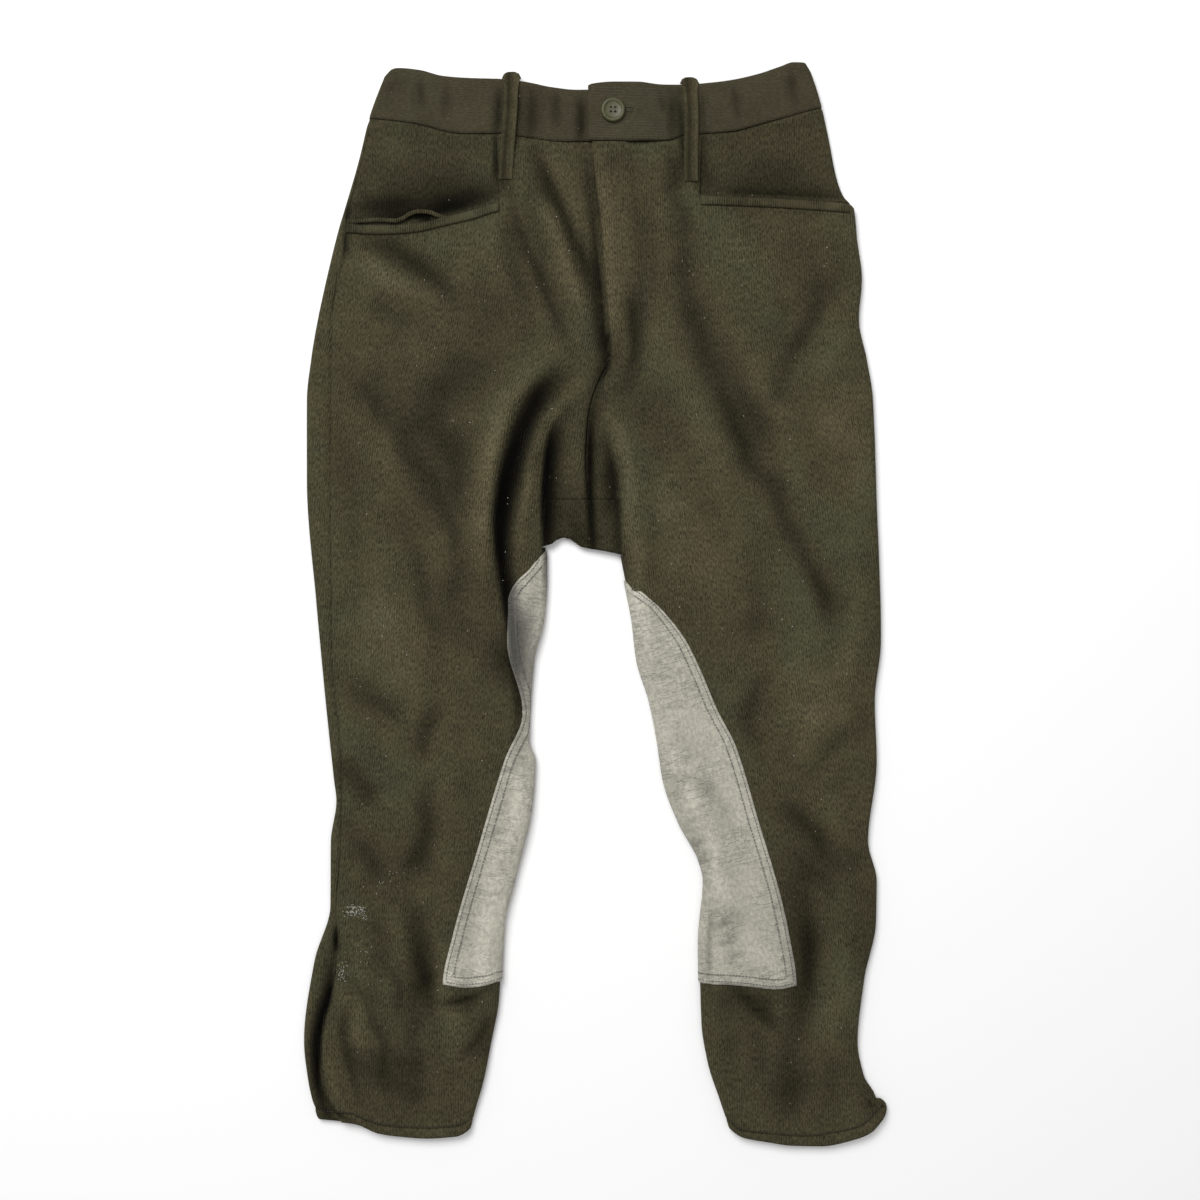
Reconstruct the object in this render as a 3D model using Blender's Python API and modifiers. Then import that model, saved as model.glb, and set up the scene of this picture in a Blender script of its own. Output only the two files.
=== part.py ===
"""Riding breeches, laid flat with the front up.

Every panel is a cloth wall in the place where it lies. Sizes are in millimetres. Depth is measured
down the garment from its highest point, and out is the distance from the middle to a leg's outside.
The wearer's left leg is at +X.
"""
import math

import bmesh
import bpy
import numpy as np

MM = 0.001

# The whole garment as it lies
LENGTH = 879.0
GAP = 0.3
CLOTH = 2.0
LAID = 7.5
LOWEST = 4.7
HIGHEST = 13.0
EDGE_TURN = 12.0
EDGE_READ = 5.0
EDGE_CLEAR = 1.7

# Waistband, loops and button
BAND = 3.0
BAND_FACE = 8.2
BAND_UNDER = 12.0
TAB_END = -6.0
TAB_FLAT = 36.0
TAB_SEAM = 60.0
BAND_RIGHT_END = 30.0
LOOP_WALL = 1.4
LOOP_WIDTH = 12.6
LOOP_LIFT = 2.6
BUTTON_ACROSS = 19.6
BUTTON_THICK = 3.4
BUTTON_AT = (14.3, 40.8)
HOLE_ACROSS = 1.9
HOLE_SPACING = 3.2

# Pockets, fly, vent and hems
POCKET_DROP = CLOTH + GAP
WELT = 1.2
WELT_DEEP = 7.0
FLY_LIFT = CLOTH + 0.8
FLY_FACING = 24.0
SIDE_UNDER = 20.0
VENT_TOP = 684.0
VENT_DROP = CLOTH + 2 * GAP
VENT_LAP = 8.0
HEM = 2.4
HEM_GAP = 0.9

# Crotch and knee patches
CROTCH_SEAM = 354.5
CENTRE_BACK = -4.5
INSEAM = 9.0
PATCH = 1.2
PATCH_OUT = PATCH + GAP
PATCH_UNDER = 24.0
PATCH_FADE = 12.0
PATCH_FOOT = 749.0

# Depth of the hip level, which both legs share
HIP = 191.5


def line(rows):
    """A smooth curve through rows of (place, value), with no overshoot between them."""
    at, value = np.array(rows, dtype=float).T
    slope = np.diff(value) / np.diff(at)
    product = slope[1:] * slope[:-1]
    total = np.where(product > 0, slope[1:] + slope[:-1], 1)
    tangent = np.concatenate(([slope[0]], np.where(product > 0, 2 * product / total, 0), [slope[-1]]))

    def read(where):
        where = np.clip(where, at[0], at[-1])
        k = np.clip(np.searchsorted(at, where) - 1, 0, len(at) - 2)
        step = at[k + 1] - at[k]
        t = (where - at[k]) / step
        near = (1 + 2 * t) * (1 - t) ** 2 * value[k] + t * (1 - t) ** 2 * step * tangent[k]
        far = t * t * (3 - 2 * t) * value[k + 1] + t * t * (t - 1) * step * tangent[k + 1]
        return near + far

    return read


def fade(value, start, end):
    """0 before start, 1 after end, and a soft rise between them."""
    t = np.clip((value - start) / (end - start), 0, 1)
    return t * t * (3 - 2 * t)


# Columns: depth, out
RIGHT_LEG = {
    "side": -1,
    "outer": line([(1, 160), (5.5, 166), (9, 170), (15.5, 173), (45.5, 184), (77.5, 192), (142.5, 210.5),
                   (208, 225.5), (240.5, 231), (273, 234.5), (338, 234.5), (436, 227), (582.5, 212.5),
                   (599, 210.5), (631.5, 215), (684.5, 215.5), (729.5, 228.5), (794.5, 237), (827, 233.5),
                   (863, 224.5)]),
    "seam": line([(45.5, 183), (77.5, 190.5), (136, 202.5), (156.5, 203.5), (179.5, 210), (213.5, 214),
                  (297.5, 215), (478.5, 214), (573, 206), (627.5, 206.5), (684.5, 210), (721.5, 209),
                  (778.5, 219.5), (803, 222), (823, 220.5), (839.5, 218), (850, 211.5), (870, 200)]),
    "pocket": line([(58, 80.5), (114, 78), (191.5, 84.5), (273, 102.5), (354.5, 114.5), (517.5, 128),
                    (684.5, 146), (770, 151), (879, 151)]),
    "patch": line([(58, 52), (151, 44), (216, 40), (287.5, 50), (354.5, 56), (392, 52), (405, 53),
                   (420.5, 63), (436, 71), (468.5, 71.5), (527.5, 59), (567, 74), (641.5, 96.5),
                   (707.5, 115.5), (746.5, 123.5), (879, 126)]),
    "inner_upper": line([(58, 30), (151, 18), (216, 10), (256.5, 12), (276.5, 17), (287.5, 23), (305.5, 31),
                         (330, 38.5), (354.5, 40.5), (379, 43)]),
    "inner": line([(393.5, 40.5), (419.5, 40.5), (452.5, 43), (485, 51), (550, 55), (566.5, 50),
                   (599, 52), (664, 66.5), (697, 74.5), (762, 78.5), (794.5, 84.5), (827, 91),
                   (851.5, 98), (872, 103)]),
    "crotch": 393.5,
    "patch_top": 405.0,
    "patch_foot": line([(-125, 747), (-104.5, 750), (-91.5, 748), (-79.5, 745)]),
    "mouth": line([(-206, 131), (-177.5, 132.5), (-159.5, 132), (-143, 130.5), (-122, 125.5),
                   (-98, 120), (-78, 114), (-4.5, 110)]),
    "hem_seam": line([(-229.5, 848.5), (-216.5, 852), (-200, 852.5), (-183, 859), (-168.5, 862.5),
                      (-139, 864.5), (-113, 863), (-99, 857)]),
    "hem": line([(-226, 857.5), (-210, 859), (-194.5, 861), (-175.5, 868.5), (-159.5, 871),
                 (-138, 872.5), (-113, 871), (-99, 864)]),
}

LEFT_LEG = {
    "side": 1,
    "outer": line([(1, 171.5), (5.5, 174), (38.5, 184.5), (61, 189.5), (93.5, 196), (108, 201.5),
                   (118, 210), (142.5, 212.5), (175, 216.5), (208, 214), (240.5, 220.5), (273, 225.5),
                   (354.5, 228.5), (468.5, 232), (517.5, 227), (566.5, 228.5), (631.5, 221.5), (664, 228.5),
                   (697, 228), (745.5, 218), (794.5, 213), (822, 218), (836, 227), (847, 236.8),
                   (856, 235), (866, 228), (879, 218)]),
    "pocket": line([(58, 86), (112.5, 85), (191.5, 89), (273, 101.5), (354.5, 118), (517.5, 140.5),
                    (684.5, 163), (770, 171), (879, 172)]),
    "patch": line([(58, 56), (191.5, 60), (273, 50), (354.5, 46), (405, 34), (420.5, 36), (442, 53),
                   (468.5, 73), (492.5, 85), (525.5, 99), (554, 113.5), (616.5, 132.5), (674, 149.5),
                   (705, 156.5), (748, 163), (879, 164)]),
    "inner_upper": line([(58, 27), (191.5, 34), (242, 34), (256.5, 28), (273, 17.5), (293.5, 8),
                         (318, 14.5), (354.5, 20), (379, 22)]),
    "inner": line([(393.5, 19), (419.5, 24), (452.5, 30.5), (485, 34.5), (517.5, 44.5), (550, 51),
                   (582.5, 56), (615.5, 68), (648, 85), (664, 88.5), (713, 84.5), (778.5, 86),
                   (811, 91), (843.5, 101.5), (860, 107), (879, 112)]),
    "crotch": 400.0,
    "patch_top": 432.0,
    "patch_foot": line([(85, 746), (123, 749), (147, 751.5), (165, 748)]),
    "mouth": line([(-4.5, 107), (85, 108.5), (150.5, 111), (210, 115.5)]),
    "hem_seam": line([(107, 857.5), (118, 866), (142, 869), (171.5, 871), (194.5, 868), (211.5, 864),
                      (220.5, 859), (227, 852), (232, 847)]),
    "hem": line([(107, 864), (120, 872), (142, 876), (160, 878.5), (183, 879), (211.5, 873),
                 (225, 867), (232, 860), (237, 854)]),
}

# Columns: x, depth
WAIST_SEAM = line([(-184, 45.5), (-148, 49.5), (-108, 58), (-78, 58), (-57.5, 61), (-25, 64.5), (24, 64.5),
                   (59, 63.5), (72, 59.5), (112, 56), (130, 51.5), (157, 44), (186, 36)])
BAND_TOP_RIGHT = line([(-170.5, 9), (-166, 5.5), (-159.5, 5), (-143, 6.5), (-123.5, 11.5), (-104, 13),
                       (-74.5, 14), (-55, 16.5), (-35.5, 20.5), (-16, 22.5), (29.5, 21.5)])
BAND_TOP_LEFT = line([(-6, 20), (-3, 18.5), (13.5, 17), (33, 17), (52.5, 18.5), (72, 18.5), (91.5, 17),
                      (111, 14.5), (131, 10), (150.5, 3.5), (160, 0.3), (170, 0.6), (174, 5.5)])
CROTCH_EDGE = line([(-49, 393.5), (-41, 392), (-35.5, 390.5), (-28, 385), (-21, 386.5), (-11, 393),
                    (3.5, 395.5), (18.5, 398.5), (22, 399.5), (30, 400)])
WAIST_SEAM_BACK = line([(-184, 45.5), (-148, 49.5), (-100, 57.5), (-50, 63.5), (0, 65.5), (50, 64),
                        (100, 57.5), (130, 51.5), (157, 44), (186, 36)])
# Columns: depth, x
FLY_EDGE = line([(55, -3.5), (93.5, -0.5), (128, 4), (173.5, 7.5), (221.5, 11), (240, 12), (253.5, 5.5),
                 (276.5, -3.5), (287.5, -5.5), (322, -7.5), (356, -5), (379, -1.5), (400, -0.5)])
FLY_UNDERLAP = line([(55, 22), (205, 22), (235, 12), (250, 0), (400, 0)])

# The largest folds. Columns: half width, height, then the points (x, depth) that it runs through
FOLDS = {
    "waist_gully": (8, -1.2, [(-54, 66), (-45, 90), (-29, 130)]),
    "fly_gully": (9, -2.6, [(-38, 102), (-8, 171), (2, 222), (6, 240)]),
    "seat_gully": (9, -2.8, [(-30, 262), (-55, 290), (-72, 330), (-76, 360), (-72, 400), (-66, 477)]),
    "thigh_ridge": (13, 3.2, [(-8, 232), (-48, 246), (-82, 275), (-98, 322), (-104, 379), (-114, 428)]),
    "crotch_ridge_right": (9, 5.0, [(-14, 256), (-32, 288), (-50, 322), (-53, 370), (-52, 436), (-62, 500)]),
    "pocket_gully": (9, -1.7, [(-176, 158), (-150, 168), (-111, 200), (-74, 222), (-35, 224)]),
    "hip_ridge": (12, 1.9, [(-190, 164), (-151, 190), (-100, 218)]),
    "broad_gully": (13, -1.7, [(-78, 222), (-106, 248), (-135, 298)]),
    "thigh_gully": (11, -2.2, [(-194, 262), (-164, 300), (-134, 340), (-116, 385)]),
    "knee_gully": (10, -1.9, [(-160, 349), (-143, 416), (-126, 481)]),
    "knee_side": (10, -1.5, [(-196, 500), (-178, 522), (-156, 546)]),
    "calf_gully": (9, -2.0, [(-134, 589), (-135, 624), (-150, 660), (-148, 706), (-138, 750), (-154, 786)]),
    "calf_ridge": (10, 1.8, [(-114, 760), (-112, 800), (-116, 834)]),
    "inner_ridge_right": (8, 3.0, [(-64, 520), (-62, 590), (-78, 660), (-90, 740), (-96, 800), (-104, 840)]),
    "web": (17, -2.7, [(-14, 292), (-14, 340), (-10, 392)]),
    "crotch_ridge_left": (8, 3.6, [(14, 288), (25, 322), (30, 372), (36, 430), (46, 480)]),
    "inner_ridge_left": (8, 2.6, [(50, 500), (64, 560), (78, 610), (98, 660), (97, 740), (98, 800)]),
    "long_gully": (10, -2.6, [(72, 140), (78, 200), (103, 277), (134, 331), (158, 379), (178, 430),
                              (194, 470)]),
    "hip_gully_left": (10, -1.8, [(196, 184), (158, 240), (134, 285)]),
    "thigh_ridge_left": (12, 2.0, [(54, 190), (68, 262), (96, 322), (112, 390), (118, 440)]),
    "knee_gully_left": (9, -1.8, [(148, 492), (128, 534), (134, 574)]),
    "knee_ridge_left": (10, 2.0, [(184, 518), (168, 552), (180, 580)]),
    "shin_gully_left": (9, -2.0, [(152, 598), (180, 630), (192, 672)]),
    "calf_gully_left": (10, -2.8, [(172, 684), (175, 730), (166, 780)]),
    "ankle_gully_left": (9, -1.5, [(121, 756), (146, 790), (156, 838)]),
    "calf_ridge_left": (9, 2.0, [(196, 700), (200, 746), (196, 792)]),
    "outer_ridge_left": (9, 1.8, [(204, 404), (210, 468), (200, 534)]),
}


def fold(x, depth, width, height, points):
    """Height that one fold adds: round across, and fading out at both ends."""
    steps = np.arange(len(points))
    along = np.linspace(0, len(points) - 1, 12 * (len(points) - 1) + 1)
    path_x = line(list(zip(steps, [p[0] for p in points])))(along)
    path_d = line(list(zip(steps, [p[1] for p in points])))(along)
    away = (x[..., None] - path_x) ** 2 + (depth[..., None] - path_d) ** 2
    nearest = away.argmin(axis=-1)
    share = nearest / (len(along) - 1)
    ends = fade(np.minimum(share, 1 - share), -0.08, 0.22)
    return height * ends * np.exp(-away.min(axis=-1) / width ** 2)


def relief(x, depth):
    """Height of the front's outer face over the table."""
    height = np.full(np.shape(x), LAID)
    for width, rise, points in FOLDS.values():
        height = height + fold(x, depth, width, rise, points)
    return np.clip(height, LOWEST, HIGHEST)


def bed(leg, reach, depth):
    """The underside rises beneath the knee patch by what the patch takes up."""
    over = fade(depth, leg["patch_top"] - PATCH_FADE - 2, leg["patch_top"] - 2)
    past = fade(depth, PATCH_FOOT + 3, PATCH_FOOT + 3 + PATCH_FADE)
    return PATCH_OUT * over * (1 - past) * (1 - fade(reach, PATCH_UNDER + 2, PATCH_UNDER + 2 + PATCH_FADE))


def edges(leg, depth, drop, below=True):
    """Outer and inner edge of a leg: place, direction, radius of the turn, height of its foot."""
    outer = leg["outer"](depth)
    radius = (relief(leg["side"] * (outer - EDGE_READ), depth) - drop) / 2
    yield outer, 1, radius, np.zeros_like(outer)
    inner = leg["inner"](depth)
    foot = bed(leg, 0, depth)
    radius = (relief(leg["side"] * (inner + EDGE_READ), depth) - drop - foot) / 2
    yield np.where(below, inner, -LENGTH), -1, radius, foot


def ring(leg, out, depth, below, drop=0.0):
    """A place on the leg's outer face. Past an edge, out runs on round it and back beneath."""
    place = out
    height = relief(leg["side"] * out, depth) - drop
    for edge, way, radius, foot in edges(leg, depth, drop, below):
        over = way * (out - edge) + radius
        turn = np.clip(over / EDGE_TURN, 0, 1) * math.pi
        beneath = np.maximum(over - EDGE_TURN, 0)
        turned = edge + way * (radius * (np.sin(turn) - 1) - beneath)
        inner = leg["inner"](depth)
        low = np.where(beneath > 0, bed(leg, np.where(below, turned - inner, LENGTH), depth), foot)
        place = np.where(over > 0, turned, place)
        height = np.where(over > 0, low + radius * (1 + np.cos(turn)), height)
    return leg["side"] * place, height


def beneath(leg, depth, reach, inner=False, drop=0.0):
    """The value of out that ends reach inside an edge, on the underside."""
    edge, way, radius, foot = list(edges(leg, depth, drop))[1 if inner else 0]
    return edge + way * (EDGE_TURN + reach - 2 * radius)


def spaced(counts):
    """Positions from 0 to the number of stretches, with so many equal steps in each stretch."""
    steps = [number + k / count for number, count in enumerate(counts) for k in range(count)]
    return np.array(steps + [len(counts)])


def between(guides, position, *where):
    """Value at a position along a row of guide curves."""
    values = np.array([guide(*where) + 0 * where[0] for guide in guides])
    k = np.clip(np.floor(position).astype(int), 0, len(guides) - 2)
    t = position - k
    first = np.take_along_axis(values, k[None], axis=0)[0]
    second = np.take_along_axis(values, (k + 1)[None], axis=0)[0]
    return first * (1 - t) + second * t


def level(depth):
    return lambda x: np.full(np.shape(x), float(depth))


def down(curve, more=0.0):
    """A curve as a line of a grid, moved out by a little more."""
    return lambda depth, below: curve(depth) + more


def lay(lines, line_steps, levels, level_steps, surface, crotch_level=0):
    """Grid of places: lines run down the garment, levels run across it."""
    u, v = np.meshgrid(spaced(line_steps), spaced(level_steps), indexing="ij")
    below = v >= crotch_level
    depth = between(levels, v, np.zeros_like(v))
    for _ in range(8):
        out = between(lines, u, depth, below)
        x, height = surface(out, depth, below)
        depth = between(levels, v, x)
    return u, v, x, depth, height


def material(name, colour, roughness):
    made = bpy.data.materials.new(name)
    made.use_nodes = True
    shader = made.node_tree.nodes["Principled BSDF"]
    shader.inputs["Base Color"].default_value = (*colour, 1)
    shader.inputs["Roughness"].default_value = roughness
    shader.inputs["Metallic"].default_value = 0
    return made


def finish(name, bm, look, wall=None):
    """Turn a bmesh in millimetres into an object, with its wall on the inner side."""
    bmesh.ops.scale(bm, verts=bm.verts, vec=(MM, MM, MM))
    mesh = bpy.data.meshes.new(name)
    bm.to_mesh(mesh)
    bm.free()
    mesh.shade_smooth()
    made = bpy.data.objects.new(name, mesh)
    made.data.materials.append(look)
    breeches.objects.link(made)
    if wall:
        solid = made.modifiers.new("wall", "SOLIDIFY")
        solid.thickness = wall * MM
        solid.offset = -1
        solid.use_even_offset = True
        solid.thickness_clamp = 0
    return made


def cloth(name, grid, look, keep=None, wall=CLOTH, faces_up=True, moved=0.0):
    """One cloth piece: the cells of a grid that it keeps, moved out, with its wall."""
    u, v, x, depth, height = grid
    columns, rows = u.shape[0] - 1, u.shape[1] - 1
    bm = bmesh.new()
    bmesh.ops.create_grid(bm, x_segments=columns, y_segments=rows, size=0.5)
    cell = {}
    for vert in bm.verts:
        column = round((vert.co.x + 0.5) * columns)
        row = round((0.5 - vert.co.y) * rows)
        cell[vert] = (column, row)
        vert.co = (x[column, row], LENGTH / 2 - depth[column, row], height[column, row])
    bm.normal_update()
    facing = sum(face.normal.z * face.calc_area() for face in bm.faces)
    if (facing > 0) != faces_up:
        bmesh.ops.reverse_faces(bm, faces=bm.faces)
    bm.normal_update()
    if moved:
        outward = {vert: vert.normal.copy() for vert in bm.verts}
        for vert in bm.verts:
            vert.co += outward[vert] * moved
    if keep:
        doomed = []
        for face in bm.faces:
            corners = [cell[vert] for vert in face.verts]
            middle_u = np.mean([u[corner] for corner in corners])
            middle_v = np.mean([v[corner] for corner in corners])
            if not keep(middle_u, middle_v):
                doomed.append(face)
        bmesh.ops.delete(bm, geom=doomed, context="FACES")
    bmesh.ops.triangulate(bm, faces=bm.faces, quad_method="FIXED")
    return finish(name, bm, look, wall)


# Steps of a front's grid: side, pocket line, patch line, inner line, end of the turn, inseam, patch end
TOP_STEPS = (6, 5, 4, 4, 1, 2)
UNDER_STEPS = (1, 4)
# Steps down: mouth, hip, crotch seam, crotch, patch top, patch foot, hem
DOWN_STEPS = (3, 3, 9, 3, 2, 17, 5)
MOUTH, AT_HIP, AT_SEAM, AT_CROTCH, AT_PATCH, AT_FOOT, AT_HEM = range(1, 8)


def front_lines(leg, drop=0.0):
    """Lines down a front, from the side seam to where the patch ends beneath."""
    side = leg["side"]

    def inner_line(depth, below):
        upper = leg["inner_upper"](depth)
        lower = leg["inner"](depth) + list(edges(leg, depth, 0.0))[1][2]
        return upper + (lower - upper) * fade(depth, CROTCH_SEAM, leg["crotch"])

    def middle(depth, below):
        upper = side * FLY_EDGE(depth) + (2 * GAP - FLY_UNDERLAP(depth) if side < 0 else 0)
        return np.where(below, beneath(leg, depth, INSEAM, inner=True), upper)

    def turned(depth, below):
        upper = inner_line(depth, below) * 0.2 + middle(depth, below) * 0.8
        radius = list(edges(leg, depth, 0.0))[1][2]
        return np.where(below, leg["inner"](depth) + radius - EDGE_TURN, upper)

    def patch_end(depth, below):
        return np.where(below, beneath(leg, depth, PATCH_UNDER, inner=True), middle(depth, below) - 1)

    top = [down(leg["pocket"]), down(leg["patch"]), inner_line, turned, middle, patch_end]
    if side < 0:
        clear = lambda depth: GAP + EDGE_CLEAR * fade(leg["seam"](depth) - leg["outer"](depth), -7, -3)
        return [lambda depth, below: leg["seam"](depth) - clear(depth)] + top, TOP_STEPS
    seam = lambda depth, below: beneath(leg, depth, SIDE_UNDER, drop=drop)
    return [seam, down(leg["outer"], EDGE_TURN - EDGE_READ), down(leg["outer"], -EDGE_READ)] + top, \
        UNDER_STEPS + TOP_STEPS


def front_levels(leg):
    return [lambda x: WAIST_SEAM(x) + GAP, leg["mouth"], level(HIP), level(CROTCH_SEAM), level(leg["crotch"]),
            level(leg["patch_top"]), leg["patch_foot"], leg["hem_seam"]]


def front_surface(leg):
    """The left front laps over the right one at the fly."""
    def surface(out, depth, below):
        x, height = ring(leg, out, depth, below)
        if leg["side"] > 0:
            across = 1 - fade(x - FLY_EDGE(depth), FLY_FACING, FLY_FACING + 9)
            height = height + FLY_LIFT * across * (1 - fade(depth, 256, 276))
        return x, height
    return surface


def make_front(leg, name, look):
    lines, steps = front_lines(leg)
    first = len(steps) - len(TOP_STEPS)
    pocket, inner, middle = first + 1, first + 3, first + 5
    grid = lay(lines, steps, front_levels(leg), DOWN_STEPS, front_surface(leg), AT_CROTCH)

    def kept(u, v):
        in_yoke = u < pocket and v < MOUTH
        past_inner = u > inner and AT_SEAM < v < AT_CROTCH
        return not in_yoke and not past_inner and u < middle

    cloth("front_" + name, grid, look, kept)
    return grid


def make_yoke(leg, name, look):
    """The pocket's inner piece, which shows above the mouth and runs on beneath the front."""
    lines, steps = front_lines(leg, POCKET_DROP)
    first = len(steps) - len(TOP_STEPS)

    def surface(out, depth, below):
        return ring(leg, out, depth, below, POCKET_DROP)

    u, v, x, depth, height = lay(lines, steps, front_levels(leg), DOWN_STEPS, surface, AT_CROTCH)
    depth = depth - 3 * GAP * ((u <= first) & (v > 0)) + 2 * GAP * (v == 0)
    beyond = first + 1 + 1 / TOP_STEPS[1]
    below = MOUTH + 1 / DOWN_STEPS[1]
    clear = first + 1 / TOP_STEPS[0]

    def kept(u, v):
        return u < beyond and (v < MOUTH or (v < below and u > clear))

    cloth("hip_yoke_" + name, (u, v, x, depth, height), look, kept)


def make_welt(leg, name, look):
    """Narrow band along the pocket mouth, on the front."""
    lines, steps = front_lines(leg)
    first = len(steps) - len(TOP_STEPS)
    levels = [lambda at: leg["mouth"](at) + GAP, lambda at: leg["mouth"](at) + WELT_DEEP]
    band = lay(lines, steps, levels, (2,), front_surface(leg), crotch_level=2)
    cloth("pocket_welt_" + name, band, look, lambda u, v: first < u < first + 1, wall=WELT,
          moved=WELT + GAP)


def make_gusset(leg, name, look):
    """Crotch piece below the cross seam, between the legs."""
    side = leg["side"]
    lines, steps = front_lines(leg)
    inner_line = lines[-4]
    outside = lambda depth, below: inner_line(depth, below) - GAP
    centre = lambda depth, below: side * FLY_EDGE(depth) + (GAP if side < 0 else 0)

    def surface(out, depth, below):
        return side * out, relief(side * out, depth)

    grid = lay([outside, centre], (5,), [level(CROTCH_SEAM + GAP), CROTCH_EDGE], (4,), surface)
    cloth("gusset_" + name, grid, look)


def make_patch(leg, name, look, grid):
    """Knee patch, made from the front's own points and carried round the inner edge."""
    lines, steps = front_lines(leg)
    first = len(steps) - len(TOP_STEPS)
    patch = first + 2
    cloth("knee_patch_" + name, grid, look, lambda u, v: u > patch and AT_PATCH < v < AT_FOOT,
          wall=PATCH, moved=PATCH_OUT)


def back_lines(leg):
    """Lines down a back, from its side seam to the centre back or the inseam."""
    side = leg["side"]

    def guide(depth, below):
        upper = leg["inner_upper"](depth) + 4
        past_bed = PATCH_UNDER + PATCH_FADE + 4
        reach = INSEAM + 4 + (past_bed - INSEAM - 4) * fade(depth, leg["crotch"] + 1, leg["patch_top"] - 2)
        return upper + (leg["inner"](depth) + reach - upper) * fade(depth, CROTCH_SEAM - 60, leg["crotch"] - 2)

    def middle(depth, below):
        return np.where(below, leg["inner"](depth) + INSEAM + GAP, side * CENTRE_BACK + GAP / 2)

    return guide, middle


def make_back(leg, name, look):
    """A back lies beneath. The right one comes round to the side seam on top, and laps under the vent."""
    side = leg["side"]
    guide, middle = back_lines(leg)

    def flap_drop(depth):
        if side > 0:
            return 0 * depth
        return POCKET_DROP * (1 - fade(depth, 116, 132)) + VENT_DROP * fade(depth, VENT_TOP - 18, VENT_TOP + 4)

    def under(out_at, depth):
        edge, way, radius, foot = next(edges(leg, depth, flap_drop(depth)))
        return 2 * (edge - radius) + EDGE_TURN - out_at

    if side < 0:
        def top_end(depth, below):
            return leg["seam"](depth) - VENT_LAP * fade(depth, VENT_TOP + 8, VENT_TOP + 24)

        lines = [top_end, down(leg["outer"], 1.0), down(leg["outer"], EDGE_TURN - 3.0)]
        steps = [2, 4]
    else:
        lines = [lambda depth, below: under(leg["outer"](depth) - SIDE_UNDER - GAP, depth)]
        steps = []
    lines += [lambda depth, below: under(leg["outer"](depth) - 30, depth),
              lambda depth, below: under(guide(depth, below), depth),
              lambda depth, below: under(middle(depth, below), depth)]
    steps += [1, 6, 5]

    def surface(out, depth, below):
        return ring_back(leg, out, depth, flap_drop(depth))

    levels = front_levels(leg)
    levels[0] = lambda x: WAIST_SEAM_BACK(x) + GAP
    levels[AT_CROTCH:AT_CROTCH + 1] = [CROTCH_EDGE, lambda x: CROTCH_EDGE(x) + 2 * GAP]
    down_steps = DOWN_STEPS[:AT_CROTCH] + (1,) + DOWN_STEPS[AT_CROTCH:]
    grid = lay(lines, steps, levels, down_steps, surface, crotch_level=AT_CROTCH + 1)
    cloth("back_" + name, grid, look, faces_up=False,
          keep=lambda u, v: u < len(steps) - 1 or not AT_CROTCH < v < AT_CROTCH + 1)
    return lines, steps, surface


def ring_back(leg, out, depth, drop):
    """The back's outer face: like the ring, with the outer edge alone."""
    side = leg["side"]
    height = relief(side * out, depth) - drop
    edge, way, radius, foot = next(edges(leg, depth, drop))
    over = out - edge + radius
    turn = np.clip(over / EDGE_TURN, 0, 1) * math.pi
    past = np.maximum(over - EDGE_TURN, 0)
    turned = edge + radius * (np.sin(turn) - 1) - past
    reach = np.where(depth > leg["crotch"] - 8, turned - leg["inner"](depth), 99)
    low = np.where(past > 0, bed(leg, reach, depth), 0)
    place = np.where(over > 0, turned, out)
    height = np.where(over > 0, low + radius * (1 + np.cos(turn)), height)
    return side * place, height


def make_hems(leg, name, look, back):
    """Turned hems, front and back, below their stitch lines."""
    lines, steps = front_lines(leg)
    levels = [lambda x: leg["hem_seam"](x) + HEM_GAP, leg["hem"]]
    first = len(steps) - len(TOP_STEPS)
    u, v, x, depth, height = lay(lines, steps, levels, (2,), front_surface(leg))
    depth = depth + EDGE_CLEAR * (v == 0) * ((u < first) | (u > first + 3))
    cloth("hem_front_" + name, (u, v, x, depth, height), look, lambda u, v: u < len(steps) - 1, wall=HEM)
    lines, steps, surface = back
    u, v, x, depth, height = lay(lines, steps, levels, (2,), surface)
    depth = depth + GAP * (v == 0)
    cloth("hem_back_" + name, (u, v, x, depth, height), look, wall=HEM, faces_up=False)


def make_waistband(leg, name, look):
    """Half of the waistband: its front, carried round the side."""
    side = leg["side"]
    top = BAND_TOP_LEFT if side > 0 else BAND_TOP_RIGHT
    end = TAB_END if side > 0 else BAND_RIGHT_END
    radius = BAND_FACE / 2
    lines = [down(leg["outer"], EDGE_TURN + BAND_UNDER - 2 * radius), down(leg["outer"], EDGE_TURN - radius),
             down(leg["outer"], -radius), lambda depth, below: side * end]
    levels = [top, lambda x: WAIST_SEAM(x) - GAP / 2]

    def surface(out, depth, below):
        over = out - leg["outer"](depth) + radius
        turn = np.clip(over / EDGE_TURN, 0, 1) * math.pi
        past = np.maximum(over - EDGE_TURN, 0)
        x = side * np.where(over > 0, leg["outer"](depth) + radius * (np.sin(turn) - 1) - past, out)
        height = radius * (1 + np.cos(turn))
        if side > 0:
            height = height + (BAND + GAP) * (1 - fade(x, TAB_FLAT, TAB_SEAM))
        return x, height

    grid = lay(lines, (1, 4, 16), levels, (3,), surface)
    cloth("waistband_" + name, grid, look, wall=BAND)


def make_waistband_back(look):
    """The waistband's back, flat on the table between its two sides."""
    inset = BAND_UNDER + EDGE_CLEAR
    right = lambda depth, below: inset - RIGHT_LEG["outer"](depth)
    left = lambda depth, below: LEFT_LEG["outer"](depth) - inset
    top = lambda x: 1.5 + np.where(x < 0, BAND_TOP_RIGHT(x), BAND_TOP_LEFT(x))
    grid = lay([right, left], (24,), [top, lambda x: WAIST_SEAM_BACK(x) - GAP / 2], (3,),
               lambda x, depth, below: (x, 0 * x))
    cloth("waistband_back", grid, look, wall=BAND, faces_up=False)


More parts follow.
